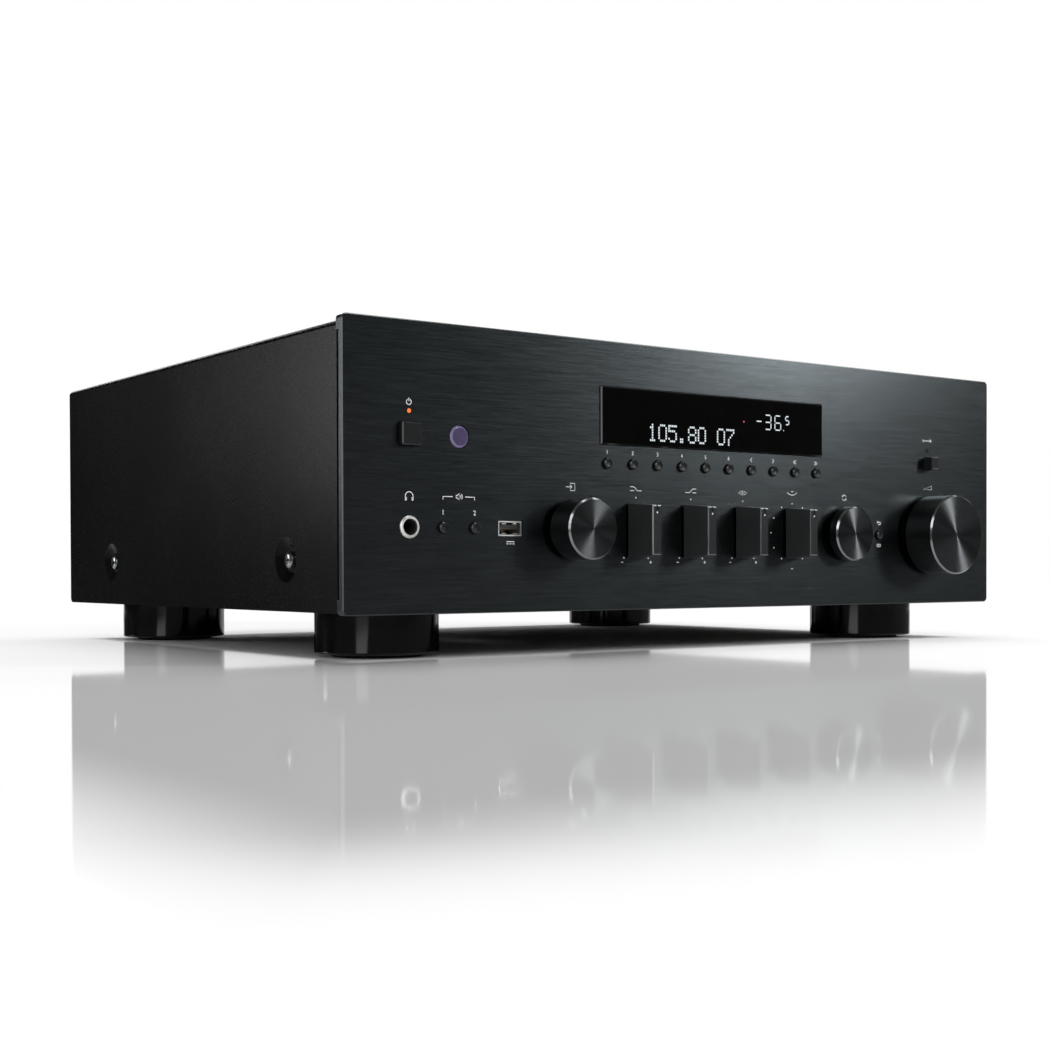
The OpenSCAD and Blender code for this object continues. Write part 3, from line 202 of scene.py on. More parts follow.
# turned metal: fine rings round an axis along Y, and a bow-tie highlight on the face
def spunFinish(name, centre, dark, light, rough, anisotropy, rings=2600.0):
    finish, tree, sockets, where = startFinish(name, Metallic=1.0, Anisotropic=anisotropy)
    sockets["Anisotropic Rotation"].default_value = 0.25
    shift = addNode(tree, "ShaderNodeMapping",
                    {"Vector": where, "Location": (-centre.x, 0.0, -centre.z), "Scale": (1, 0, 1)})
    radius = addNode(tree, "ShaderNodeVectorMath", {0: shift.outputs[0]}, operation="LENGTH").outputs["Value"]
    depth = addNode(tree, "ShaderNodeSeparateXYZ", {0: where}).outputs[1]
    ringAt = math2(tree, "ADD", radius, depth)
    ring = addNode(tree, "ShaderNodeTexNoise", {"W": ringAt, "Scale": rings, "Detail": 2.0}, noise_dimensions="1D")
    smudge = useGroup(tree, softSmudge, {"Vector": where, "Size": 60.0})
    tone = weighted(tree, ring.outputs[0], 0.8, smudge["Value"], 0.2)
    tree.links.new(tint(tree, tone, dark, light), sockets["Base Color"])
    tree.links.new(span(tree, tone, *rough), sockets["Roughness"])
    bumpInto(tree, sockets, ring.outputs[0], 0.06, 0.00003)
    round_ = addNode(tree, "ShaderNodeTangent", direction_type="RADIAL", axis="Y")
    tree.links.new(round_.outputs[0], sockets["Tangent"])
    return finish


def mouldedFinish(name, colour, rough=(0.32, 0.46), grain=900.0, bump=0.25, spec=0.5, smudgeSize=45.0, speckle=0.0):
    finish, tree, sockets, where = startFinish(name)
    sockets["Specular IOR Level"].default_value = spec
    coat = useGroup(tree, pebbleCoat, {"Vector": where, "Grain": grain})
    smudge = useGroup(tree, softSmudge, {"Vector": where, "Size": smudgeSize})
    paler = tuple(min(1.0, c * 1.5 + 0.001) for c in colour)
    tree.links.new(tint(tree, coat["Tone"], colour, paler), sockets["Base Color"])
    uneven = weighted(tree, smudge["Value"], 1 - speckle, coat["Tone"], speckle)
    tree.links.new(span(tree, uneven, *rough), sockets["Roughness"])
    bumpInto(tree, sockets, coat["Height"], bump, 0.00008)
    return finish


def metalFinish(name, colour, rough=(0.16, 0.28), smudgeSize=120.0, metallic=1.0):
    finish, tree, sockets, where = startFinish(name, Metallic=metallic)
    smudge = useGroup(tree, softSmudge, {"Vector": where, "Size": smudgeSize})
    duller = tuple(c * 0.82 for c in colour)
    tree.links.new(tint(tree, smudge["Value"], duller, colour), sockets["Base Color"])
    tree.links.new(span(tree, smudge["Value"], *rough), sockets["Roughness"])
    return finish


def litFinish(name, colour, strength, body=(0.02, 0.02, 0.02)):
    finish, tree, sockets, where = startFinish(name, Roughness=0.4)
    sockets["Emission Strength"].default_value = strength
    smudge = useGroup(tree, softSmudge, {"Vector": where, "Size": 400.0})
    tree.links.new(tint(tree, smudge["Value"], tuple(c * 0.86 for c in colour), colour), sockets["Emission Color"])
    sockets["Base Color"].default_value = (*body, 1.0)
    return finish


panelFinish = dict(dark=(0.035, 0.0408, 0.0428), light=(0.066, 0.0758, 0.0795), rough=(0.215, 0.28),
                   stretch=(55, 300, 1700), contrast=2.6, metallic=1.0, anisotropy=0.5)
brushedPanel = brushedFinish("brushedPanel", **panelFinish)
panelBevel = brushedFinish("panelBevel", (0.05, 0.056, 0.058), (0.088, 0.095, 0.097), (0.2, 0.28),
                           panelFinish["stretch"], contrast=1.2, metallic=1.0, anisotropy=0.3)
frameBlack = mouldedFinish("frameBlack", (0.009, 0.0095, 0.010), rough=(0.45, 0.6))
smokedWindow = mouldedFinish("smokedWindow", (0.0004, 0.0004, 0.0005), rough=(0.05, 0.09), grain=200.0,
                             bump=0.0, spec=0.1)
windowEdge = mouldedFinish("windowEdge", (0.004, 0.004, 0.005), rough=(0.10, 0.16), grain=200.0, bump=0.0, spec=0.6)
displayGlass = mouldedFinish("displayGlass", (0.02, 0.024, 0.026), rough=(0.08, 0.14), grain=300.0, bump=0.02)
litSegment = litFinish("litSegment", (0.74, 0.82, 0.85), 1.0)
litRed = litFinish("litRed", (0.75, 0.02, 0.06), 0.9)
amberLit = litFinish("amberLit", (0.95, 0.17, 0.03), 1.0, (0.3, 0.06, 0.01))
amberRing = mouldedFinish("amberRing", (0.10, 0.025, 0.006), rough=(0.2, 0.3))
lampOff = mouldedFinish("lampOff", (0.010, 0.009, 0.009), rough=(0.15, 0.25))
lensTint = mouldedFinish("lensTint", (0.042, 0.030, 0.080), rough=(0.22, 0.32), grain=500.0, bump=0.03)
# the paler purple of the lens's outer ring is a painted highlight for the light ring round its edge
lensRim = mouldedFinish("lensRim", (0.16, 0.13, 0.24), rough=(0.2, 0.3), grain=500.0, bump=0.03)
nickel = metalFinish("nickel", (0.78, 0.77, 0.74), (0.14, 0.26))
satinNickel = metalFinish("satinNickel", (0.84, 0.83, 0.80), (0.36, 0.46))
gold = metalFinish("gold", (0.83, 0.60, 0.24), (0.18, 0.3))
# dark plastic inside the sockets, also used as painted shade in bores, pin holes and sunk mouths
darkPlasticAndShade = mouldedFinish("darkPlasticAndShade", (0.006, 0.006, 0.0065), rough=(0.5, 0.65))
powderCoat = dict(colour=(0.0016, 0.0018, 0.0019), grain=1050.0, bump=0.1, spec=0.08, smudgeSize=8.0, speckle=0.55)
powderPaint = mouldedFinish("powderPaint", rough=(0.2, 0.31), **powderCoat)
powderTop = mouldedFinish("powderTop", rough=(0.36, 0.46), **powderCoat)
rearPaint = mouldedFinish("rearPaint", (0.013, 0.014, 0.0145), rough=(0.42, 0.52), grain=1400.0, smudgeSize=9.0)
trayPaint = mouldedFinish("trayPaint", (0.006, 0.006, 0.0065), rough=(0.45, 0.55), grain=1200.0, smudgeSize=9.0)
footGloss = mouldedFinish("footGloss", (0.0015, 0.0016, 0.0017), rough=(0.07, 0.12), grain=260.0, bump=0.01)
padRubber = mouldedFinish("padRubber", (0.014, 0.014, 0.014), rough=(0.75, 0.9), grain=1600.0, bump=0.5)
darkScrew = metalFinish("darkScrew", (0.30, 0.31, 0.32), (0.2, 0.32), 200.0)
buttonSatin = mouldedFinish("buttonSatin", (0.006, 0.007, 0.0074), rough=(0.26, 0.34), grain=1200.0,
                            bump=0.04, spec=0.22)
# the paler, glossier bevel finish of the push buttons is a painted highlight
buttonEdgeHighlight = mouldedFinish("buttonEdgeHighlight", (0.010, 0.011, 0.0115), rough=(0.2, 0.28), grain=1200.0, bump=0.04, spec=0.5)
toneSide = mouldedFinish("toneSide", (0.013, 0.0145, 0.015), rough=(0.34, 0.44), grain=1500.0, bump=0.06)
toneFace = brushedFinish("toneFace", (0.065, 0.071, 0.074), (0.10, 0.107, 0.11), (0.26, 0.34), (70, 300, 3000),
                         contrast=1.4, metallic=1.0, anisotropy=0.45)
toneEdge = metalFinish("toneEdge", (0.22, 0.23, 0.235), (0.18, 0.24))
inkWhite = mouldedFinish("inkWhite", (0.66, 0.67, 0.67), rough=(0.5, 0.6), grain=2500.0, bump=0.1)
capRed = mouldedFinish("capRed", (0.33, 0.010, 0.010), rough=(0.12, 0.2), grain=300.0, bump=0.03)
capBlack = mouldedFinish("capBlack", (0.008, 0.008, 0.0085), rough=(0.12, 0.2), grain=300.0, bump=0.03)
jackRed = mouldedFinish("jackRed", (0.42, 0.015, 0.013), rough=(0.3, 0.4))
jackWhite = mouldedFinish("jackWhite", (0.66, 0.65, 0.62), rough=(0.3, 0.4))
jackOrange = mouldedFinish("jackOrange", (0.62, 0.17, 0.012), rough=(0.3, 0.4))
lampGreen = mouldedFinish("lampGreen", (0.05, 0.22, 0.06), rough=(0.15, 0.25))
sinkBlack = metalFinish("sinkBlack", (0.045, 0.047, 0.05), (0.4, 0.55), 60.0)
coreLayers = brushedFinish("coreLayers", (0.10, 0.105, 0.11), (0.22, 0.225, 0.23), (0.4, 0.55), (30, 1400, 30),
                           contrast=2.0, metallic=0.8, anisotropy=0.0)
partBlack = mouldedFinish("partBlack", (0.012, 0.013, 0.016), rough=(0.25, 0.4))
boardGreen = mouldedFinish("boardGreen", (0.014, 0.075, 0.028), rough=(0.3, 0.42), grain=420.0, bump=0.2)
controlSteel = metalFinish("controlSteel", (0.45, 0.46, 0.47), (0.3, 0.42))
print("finishes made:", len(bpy.data.materials))


# CAD meshes are loose triangles, so pieces are made from merged copies with even, area-weighted normals
def mergedMesh(node):
    source = cadNodes[node].data
    bm = bmesh.new()
    corners = [bm.verts.new(v.co) for v in source.vertices]
    for face in source.polygons:
        bm.faces.new([corners[i] for i in face.vertices])
    bmesh.ops.remove_doubles(bm, verts=bm.verts, dist=2e-6)
    mesh = bpy.data.meshes.new(node + "_skin")
    bm.to_mesh(mesh)
    bm.free()
    return mesh


def evaluated(piece):
    graph = bpy.context.evaluated_depsgraph_get()
    return bpy.data.meshes.new_from_object(piece.evaluated_get(graph), depsgraph=graph)


def loosePiece(name, mesh):
    piece = bpy.data.objects.new(name, mesh)
    scene.collection.objects.link(piece)
    return piece


def discard(piece):
    mesh = piece.data
    bpy.data.objects.remove(piece)
    if isinstance(mesh, bpy.types.Mesh):
        bpy.data.meshes.remove(mesh)


def smoothed(mesh, angle):
    for face in mesh.polygons:
        face.use_smooth = True
    mesh.set_sharp_from_angle(angle=math.radians(angle))
    draft = loosePiece("draft", mesh)
    even = draft.modifiers.new("even", "WEIGHTED_NORMAL")
    even.mode = "FACE_AREA"
    even.keep_sharp = True
    made = evaluated(draft)
    discard(draft)
    return made


def settle(name, mesh, body, stands=()):
    piece = loosePiece(name, mesh)
    mesh.name = name
    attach(piece, body)
    if stands:
        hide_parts(*stands)
    return piece


def grainMap(mesh, along, across):
    layer = mesh.uv_layers.new(name="grain")
    for loop in mesh.loops:
        place = mesh.vertices[loop.vertex_index].co
        layer.data[loop.index].uv = (place[across] * 10, place[along] * 10)


def dress(node, finishes, paint=None, angle=28, grain=None):
    mesh = mergedMesh(node)
    for finish in finishes:
        mesh.materials.append(finish)
    if paint:
        for face in mesh.polygons:
            face.material_index = paint(face.center, face.normal)
    mesh = smoothed(mesh, angle)
    if grain:
        grainMap(mesh, *grain)
    return settle(node + "_skin", mesh, bodyOf[node], [node])


# Geometry Nodes: one piece repeated on points, turned by each point's own angles
def geometryTree(name, ins):
    tree = bpy.data.node_groups.new(name, "GeometryNodeTree")
    tree.interface.new_socket("Geometry", in_out="INPUT", socket_type="NodeSocketGeometry")
    for label, kind in ins:
        tree.interface.new_socket(label, in_out="INPUT", socket_type=kind)
    tree.interface.new_socket("Geometry", in_out="OUTPUT", socket_type="NodeSocketGeometry")
    return tree, tree.nodes.new("NodeGroupInput").outputs, tree.nodes.new("NodeGroupOutput").inputs


repeatAtPoints, ins, outs = geometryTree(
    "repeatAtPoints",
    [("Piece", "NodeSocketObject"), ("Size", "NodeSocketFloat"), ("Finish", "NodeSocketMaterial")])
shape = addNode(repeatAtPoints, "GeometryNodeObjectInfo", {"Object": ins["Piece"]})
turn = addNode(repeatAtPoints, "GeometryNodeInputNamedAttribute", {"Name": "turn"}, data_type="FLOAT_VECTOR")
copies = addNode(repeatAtPoints, "GeometryNodeInstanceOnPoints",
                 {"Points": ins["Geometry"], "Instance": shape.outputs["Geometry"],
                  "Rotation": turn.outputs[0], "Scale": ins["Size"]})
solid = addNode(repeatAtPoints, "GeometryNodeRealizeInstances", {"Geometry": copies.outputs[0]})
coloured = addNode(repeatAtPoints, "GeometryNodeSetMaterial", {"Geometry": solid.outputs[0], "Material": ins["Finish"]})
repeatAtPoints.links.new(coloured.outputs[0], outs["Geometry"])

# Geometry Nodes: printed lines that follow edges
strokeLines, ins, outs = geometryTree(
    "strokeLines", [("Width", "NodeSocketFloat"), ("Finish", "NodeSocketMaterial")])
path = addNode(strokeLines, "GeometryNodeMeshToCurve", {"Mesh": ins["Geometry"]})
half = addNode(strokeLines, "ShaderNodeMath", {0: ins["Width"], 1: 0.5}, operation="MULTIPLY")
nib = addNode(strokeLines, "GeometryNodeCurvePrimitiveCircle", {"Resolution": 8, "Radius": half.outputs[0]})
drawn = addNode(strokeLines, "GeometryNodeCurveToMesh",
                {"Curve": path.outputs[0], "Profile Curve": nib.outputs[0], "Fill Caps": True})
solid = addNode(strokeLines, "GeometryNodeRealizeInstances", {"Geometry": drawn.outputs[0]})
coloured = addNode(strokeLines, "GeometryNodeSetMaterial", {"Geometry": solid.outputs[0], "Material": ins["Finish"]})
strokeLines.links.new(coloured.outputs[0], outs["Geometry"])


def runTree(tree, mesh, values):
    draft = loosePiece("draft", mesh)
    grown = draft.modifiers.new("grown", "NODES")
    grown.node_group = tree
    keys = {s.name: s.identifier for s in tree.interface.items_tree if s.in_out == "INPUT"}
    for label, value in values.items():
        grown[keys[label]] = value
    made = evaluated(draft)
    draft.modifiers.remove(grown)
    discard(draft)
    return made


def repeat(template, places, size, finish):
    points = bpy.data.meshes.new("points")
    points.from_pydata([p for p, angles in places], [], [])
    turns = points.attributes.new("turn", "FLOAT_VECTOR", "POINT")
    for i, (p, angles) in enumerate(places):
        turns.data[i].vector = angles
    piece = loosePiece("template", template)
    made = runTree(repeatAtPoints, points, {"Piece": piece, "Size": size, "Finish": finish})
    bpy.data.objects.remove(piece)
    return made


def drawLines(lines, place, width, finish):
    corners, edges = [], []
    for line in lines:
        first = len(corners)
        corners += [place(x, z) for x, z in line]
        closed = math.dist(line[0], line[-1]) < 1e-6 and len(line) > 2
        if closed:
            corners.pop()
        n = len(corners) - first
        edges += [(first + i, first + i + 1) for i in range(n - 1)]
        if closed:
            edges.append((first + n - 1, first))
    mesh = bpy.data.meshes.new("lines")
    mesh.from_pydata(corners, edges, [])
    made = runTree(strokeLines, mesh, {"Width": width * mm, "Finish": finish})
    plane = place(0, 0, 0).y
    out = place(0, 0, 1).y - plane
    for v in made.vertices:  # a printed line is thin
        v.co.y = plane + out * 0.012 + (v.co.y - plane) * 0.05
    return made


def printText(entries, place, finish):
    parts = []
    facing = Matrix.Rotation(math.pi, 4, "Z") if place(0, 0, 1).y > place(0, 0, 0).y else Matrix.Identity(4)
    for text, x, z, size in entries:
        curve = bpy.data.curves.new("label", "FONT")
        curve.body = text
        curve.size = size * mm * 1.42
        curve.align_x = "CENTER"
        curve.align_y = "CENTER"
        curve.extrude = 0.010 * mm
        label = loosePiece("label", curve)
        mesh = evaluated(label)
        bpy.data.objects.remove(label)
        mesh.transform(Matrix.Translation(place(x, z, 0.012)) @ facing @ Matrix.Rotation(math.pi / 2, 4, "X"))
        mesh.materials.clear()
        mesh.materials.append(finish)
        parts.append(mesh)
    return parts


# joins meshes that may carry several finishes into one
def joined(name, meshes):
    finishes, bm = [], bmesh.new()
    for mesh in meshes:
        first = len(bm.faces)
        bm.from_mesh(mesh)
        bm.faces.ensure_lookup_table()
        for face in bm.faces[first:]:
            finish = mesh.materials[face.material_index]
            if finish not in finishes:
                finishes.append(finish)
            face.material_index = finishes.index(finish)
    made = bpy.data.meshes.new(name)
    bm.to_mesh(made)
    bm.free()
    for finish in finishes:
        made.materials.append(finish)
    return made


# a turned shape round Z from (radius, height) pairs in millimetres
def turnedMesh(profile, steps=32):
    bm = bmesh.new()
    rings = []
    for r, h in profile:
        if r < 1e-6:
            rings.append([bm.verts.new((0, 0, h * mm))])
        else:
            rings.append([bm.verts.new((r * mm * math.cos(a), r * mm * math.sin(a), h * mm))
                          for a in (2 * math.pi * k / steps for k in range(steps))])
    for low, high in zip(rings, rings[1:]):
        for k in range(steps):
            n = (k + 1) % steps
            corners = [low[k % len(low)], low[n % len(low)], high[n % len(high)], high[k % len(high)]]
            face = []
            for c in corners:
                if c not in face:
                    face.append(c)
            if len(face) > 2:
                bm.faces.new(face)
    bmesh.ops.recalc_face_normals(bm, faces=bm.faces)
    mesh = bpy.data.meshes.new("turned")
    bm.to_mesh(mesh)
    bm.free()
    return mesh


def boxMesh(w, d, h, bevel=0.0):
    bm = bmesh.new()
    bmesh.ops.create_cube(bm, size=1.0)
    bmesh.ops.scale(bm, vec=(w * mm, d * mm, h * mm), verts=bm.verts)
    if bevel:
        bmesh.ops.bevel(bm, geom=bm.edges, offset=bevel * mm, segments=2, affect="EDGES", profile=0.5)
    mesh = bpy.data.meshes.new("box")
    bm.to_mesh(mesh)
    bm.free()
    return mesh


towardFront = (math.pi / 2, 0.0, 0.0)  # turns a template's +Z to -Y
towardRear = (-math.pi / 2, 0.0, 0.0)


def arc(x, z, r, a0, a1, steps=20):
    return [(x + r * math.cos(math.radians(a0 + (a1 - a0) * k / steps)),
             z + r * math.sin(math.radians(a0 + (a1 - a0) * k / steps))) for k in range(steps + 1)]


def ringLine(x, z, r, steps=24):
    line = arc(x, z, r, 0, 360, steps)
    line[-1] = line[0]
    return line


def moved(lines, x, z, scale=1.0):
    return [[(x + u * scale, z + v * scale) for u, v in line] for line in lines]


# front panel and what sits in it
def panelPaint(place, normal):
    return 1 if -0.97 < normal.y < -0.2 else 0


dress("fascia", [brushedPanel, panelBevel], panelPaint, angle=20, grain=(0, 2))
dress("front_frame", [frameBlack])
dress("display_window", [smokedWindow, windowEdge], panelPaint, angle=20)
dress("display_module", [displayGlass])

lens = dict(face=4.05, rim=5.0)
lensAt = middleOf("receiver_lens")


# the outer ring of the lens front takes the paler purple, a painted highlight
def lensPaint(place, normal):
    r = math.hypot(place.x - lensAt.x, place.z - lensAt.z) / mm
    return 1 if place.y < panelY + 0.7 * mm and r > lens["face"] else 0


dress("receiver_lens", [lensTint, lensRim], lensPaint)


def lampPaint(place, normal):
    if place.x > 0:
        return 2
    return 0 if place.y < panelY and normal.y < -0.5 else 1


dress("indicator_lenses", [amberLit, amberRing, lampOff], lampPaint)

jack = dict(bore=3.2, plated=6.0)
jackAt = mountAt["phones_jack"]


# the bore walls of the jack are painted dark as painted shade; deeper than the plated part it is dark plastic
def jackPaint(place, normal):
    r = math.hypot(place.x - jackAt.x, place.z - jackAt.z) / mm
    depth = (place.y - panelY) / mm
    inside = r < jack["bore"] + 0.45 and (normal.y > -0.9 or depth > 0)
    return 1 if inside or depth > jack["plated"] else 0


dress("phones_jack", [satinNickel, darkPlasticAndShade], jackPaint)
usbLow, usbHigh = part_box("usb_port")
usbMid = (usbLow + usbHigh) / 2


# the port's mouth is painted dark: partly its dark plastic, partly painted shade in the recess
def usbPaint(place, normal):
    inside = abs(place.x - usbMid.x) < 5.35 * mm and abs(place.z - usbMid.z) < 2.3 * mm
    return 1 if inside else 0


dress("usb_port", [satinNickel, darkPlasticAndShade], usbPaint)

usbParts = dict(contacts=4, contactPitch=2.2, contactDepth=5.2, contactDrop=0.15,
                fingers=((-3.1, 1), (3.1, 1), (-3.1, -1), (3.1, -1)))
contacts = repeat(boxMesh(1.1, 6.0, 0.25, 0.08),
                  [(Vector((usbMid.x + (k - 1.5) * usbParts["contactPitch"] * mm,
                            usbLow.y + usbParts["contactDepth"] * mm, usbMid.z - usbParts["contactDrop"] * mm)), (0, 0, 0))
                   for k in range(usbParts["contacts"])], 1.0, gold)
fingers = repeat(boxMesh(2.2, 5.0, 0.35, 0.12),
                 [(Vector((usbMid.x + x * mm, usbLow.y + 2.9 * mm, usbMid.z + side * 2.45 * mm)), (side * 0.09, 0, 0))
                  for x, side in usbParts["fingers"]], 1.0, nickel)
settle("usb_contacts", joined("usb_contacts", [contacts, fingers]), "chassis")
print("front panel dressed")


# push buttons: satin tops, with the bevel painted paler and glossier as a painted highlight
def buttonPaint(place, normal):
    return 1 if -0.95 < normal.y < -0.25 else 0


buttons = [n for n in cadNodes if n.endswith("_button") or n.startswith("function_button")]
for n in buttons:
    dress(n, [buttonSatin, buttonEdgeHighlight], buttonPaint, angle=24)

# round knobs
knobFace = dict(dark=(0.042, 0.0453, 0.047), light=(0.070, 0.075, 0.0775), rough=(0.27, 0.31), anisotropy=1.0)
for n in ("input_knob", "select_knob", "volume_knob"):
    centre = middleOf(n)
    face = spunFinish(n + "Face", centre, **knobFace)
    rim = spunFinish(n + "Rim", centre, (0.15, 0.16, 0.165), (0.26, 0.27, 0.275), (0.16, 0.22), 0.4)
    side = spunFinish(n + "Side", centre, (0.028, 0.031, 0.032), (0.055, 0.060, 0.062), (0.30, 0.38), 0.6, 1500.0)

    def knobPaint(place, normal):
        if normal.y < -0.97:
            return 0
        return 1 if normal.y < -0.3 else 2

    dress(n, [face, rim, side], knobPaint, angle=24)
    shaft = n.replace("knob", "shaft")
    dress(shaft, [controlSteel])

# wedge tone knobs with a pale dot under the pointer groove
toneKnob = dict(dotRadius=0.42, dotDrop=3.6)
for n in ("bass_knob", "treble_knob", "balance_knob", "loudness_knob"):
    low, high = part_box(n)
    top = high.z - 1.2 * mm  # upper end of the narrow face

    def tonePaint(place, normal, low=low):
        if normal.y < -0.97 and place.y < low.y + 0.2 * mm:
            return 1
        if -0.97 < normal.y < -0.35 and place.y < low.y + 0.7 * mm:
            return 2
        return 0

    dress(n, [toneSide, toneFace, toneEdge], tonePaint, angle=20, grain=(2, 0))
    r = toneKnob["dotRadius"]
    dot = repeat(turnedMesh([(0, -0.1), (r, -0.1), (r, 0.01), (r - 0.04, 0.025), (0, 0.025)], 20),
                 [(Vector((middleOf(n).x, low.y, top - toneKnob["dotDrop"] * mm)), towardFront)], 1.0, inkWhite)
    settle(n + "_dot", dot, bodyOf[n])
print("knobs and buttons dressed")

# printed marks on the front panel: signs and plain numbers
ink = dict(line=0.36, number=1.9)
buttonX = [(k - 4.5) * 16 for k in range(10)]
toneX = [(k - 1.5) * 36 for k in range(4)]
powerSign = [arc(0, 0, 1.45, 122, 418), [(0, 0.35), (0, 2.05)]]
headphoneSign = [arc(0, 0, 2.0, 0, 180), [(-2.0, 0), (-2.0, -1.7)], [(2.0, 0), (2.0, -1.7)],
                 [(-1.45, -0.4), (-1.45, -1.7), (-2.0, -1.7)], [(1.45, -0.4), (1.45, -1.7), (2.0, -1.7)]]
speakerSign = [[(-1.5, -0.7), (-0.7, -0.7), (0.4, -1.7), (0.4, 1.7), (-0.7, 0.7), (-1.5, 0.7), (-1.5, -0.7)],
               arc(0.5, 0, 1.0, -45, 45, 8), arc(0.5, 0, 1.9, -45, 45, 10)]
bracket = [[(-8.5, -1.4), (-8.5, 0), (-3.4, 0)], [(3.4, 0), (8.5, 0), (8.5, -1.4)]]
supplySign = [[(-2.2, 0.45), (2.2, 0.45)], [(-2.2, -0.55), (-1.2, -0.55)],
              [(-0.5, -0.55), (0.5, -0.55)], [(1.2, -0.55), (2.2, -0.55)]]
inputSign = [[(-3.0, 0), (0.7, 0)], [(-0.5, 1.0), (0.7, 0), (-0.5, -1.0)],
             [(-0.4, 1.7), (2.4, 1.7), (2.4, -1.7), (-0.4, -1.7)]]
lowShelf = [[(-3.6, 1.1), (-1.6, 1.1), (-0.6, 0.7), (0.4, -0.5), (1.2, -0.8), (3.6, -0.8)],
            [(-3.6, -0.8), (-2.4, -0.8), (-1.2, -0.8)]]
highShelf = [[(-u, v) for u, v in line] for line in lowShelf]
balanceSign = [[(-1.0, 1.0), (-3.0, 0), (-1.0, -1.0), (-1.0, 1.0)], [(1.0, 1.0), (3.0, 0), (1.0, -1.0), (1.0, 1.0)],
               [(0, 1.2), (0, -1.2)]]
loudSign = [arc(0, 4.4, 5.2, 228, 312, 14), [(-0.9, 1.1), (0.9, 1.1)]]
selectSign = [arc(0, 0, 1.5, 20, 160), [(-1.75, 1.3), (-1.41, 0.5), (-0.6, 0.75)],
              arc(0, 0, 1.5, 200, 340), [(1.75, -1.3), (1.41, -0.5), (0.6, -0.75)]]
returnSign = [[(-1.4, 0.3), (0.9, 0.3)] + arc(0.9, -0.35, 0.65, 90, -90, 8) + [(-0.4, -1.0)],
              [(-0.6, 1.0), (-1.4, 0.3), (-0.6, -0.4)]]
linkSign = [ringLine(-0.75, 0, 0.75, 16), ringLine(0.75, 0, 0.75, 16)]
volumeSign = [[(-3.6, -0.8), (3.6, -0.8), (3.6, 1.3), (-3.6, -0.8)]]
directSign = [[(-3.6, 0), (3.2, 0)], [(2.2, 0.9), (3.4, 0), (2.2, -0.9)], [(-3.8, 0.9), (-3.8, -0.9)]]
chevron = [[(0.55, 0.95), (-0.55, 0), (0.55, -0.95)]]
chevrons = chevron + moved(chevron, 1.0, 0)


def flipped(lines):
    return [[(-u, v) for u, v in line] for line in lines]


frontLines = (moved(powerSign, -184.0, 93.7, 0.85) + moved(headphoneSign, -184.0, 52.2)
              + moved(speakerSign, -158.0, 52.6, 0.85) + moved(bracket, -157.8, 52.6)
              + moved(supplySign, -129.4, 32.2) + moved(inputSign, -94.2, 58.9)
              + moved(lowShelf, toneX[0], 59.0) + moved(highShelf, toneX[1], 59.0) + moved(balanceSign, toneX[2], 59.0)
              + moved(loudSign, toneX[3], 59.6) + moved(selectSign, 94.2, 58.4) + moved(returnSign, 122.2, 45.2)
              + moved(linkSign, 122.2, 32.6) + moved(volumeSign, 163.4, 65.6) + moved(directSign, 163.4, 92.6)
              + moved(chevron, buttonX[6], 76.3) + moved(flipped(chevron), buttonX[7], 76.3)
              + moved(chevrons, buttonX[8] - 0.5, 76.3) + moved(flipped(chevrons), buttonX[9] + 0.5, 76.3))
for x in toneX[:3]:  # less and more
    frontLines += [[(x - 9.5, 23.2), (x - 8.1, 23.2)], [(x + 8.7, 23.2), (x + 10.1, 23.2)],
                   [(x + 9.4, 22.5), (x + 9.4, 23.9)]]
frontLines.append([(toneX[3] - 0.7, 19.8), (toneX[3] + 0.7, 19.8)])
frontText = [(str(k + 1), buttonX[k], 76.3, ink["number"]) for k in range(6)]
frontText += [("1", -166.3, 45.4, 2.2), ("2", -149.3, 45.4, 2.2)]
frontDots = [(x + r * math.sin(math.radians(a)), 38.7 + r * math.cos(math.radians(a)))
             for x in toneX[:3] for a, r in ((0, 16.1), (-150, 15.4), (150, 15.6))]
dotRing = dict(radius=15.6, z=38.7, end=150, step=30)
for a in range(-dotRing["end"], dotRing["end"] + 1, dotRing["step"]):
    turned = math.radians(a)
    frontDots.append((toneX[3] + dotRing["radius"] * math.sin(turned),
                      dotRing["z"] + dotRing["radius"] * math.cos(turned)))
dotShape = turnedMesh([(0, 0.002), (0.40, 0.002), (0.36, 0.022), (0, 0.022)], 14)
marks = [drawLines(frontLines, frontAt, ink["line"], inkWhite),
         repeat(dotShape, [(frontAt(x, z), towardFront) for x, z in frontDots], 1.0, inkWhite)]
marks += printText(frontText, frontAt, inkWhite)
settle("front_marks", joined("front_marks", marks), "chassis")
print("front marks printed:", len(frontLines), "lines,", len(frontDots), "dots")

# lit characters behind the smoked window
digitRows = {
    "0": (14, 17, 17, 17, 17, 17, 14), "1": (4, 12, 4, 4, 4, 4, 14), "5": (31, 16, 30, 1, 1, 17, 14),
    "7": (31, 1, 2, 4, 8, 8, 8), "8": (14, 17, 17, 14, 17, 17, 14), ".": (0, 0, 0, 0, 0, 12, 12), " ": (0,) * 7}
display = dict(text="105.80 07", left=-46.4, bottom=83.3, dotX=1.16, dotZ=1.26, cell=6.55, out=1.0, segment=0.62,
               volumeX=-1.4, lampX=19.3, lampZ=95.7)
litDots = []
for place, mark in enumerate(display["text"]):
    for row, bits in enumerate(digitRows[mark]):
        for column in range(5):
            if bits >> (4 - column) & 1:
                litDots.append((display["left"] + place * display["cell"] + column * display["dotX"],
                                display["bottom"] + (6 - row) * display["dotZ"]))
segmentLines = {"a": [(0.35, 2), (0.65, 2)], "g": [(0.35, 1), (0.65, 1)], "d": [(0.35, 0), (0.65, 0)],
                "f": [(0, 1.3), (0, 1.7)], "b": [(1, 1.3), (1, 1.7)], "e": [(0, 0.3), (0, 0.7)], "c": [(1, 0.3), (1, 0.7)]}
segmentsOf = {"3": "abgcd", "6": "afgedc", "5": "afgcd"}


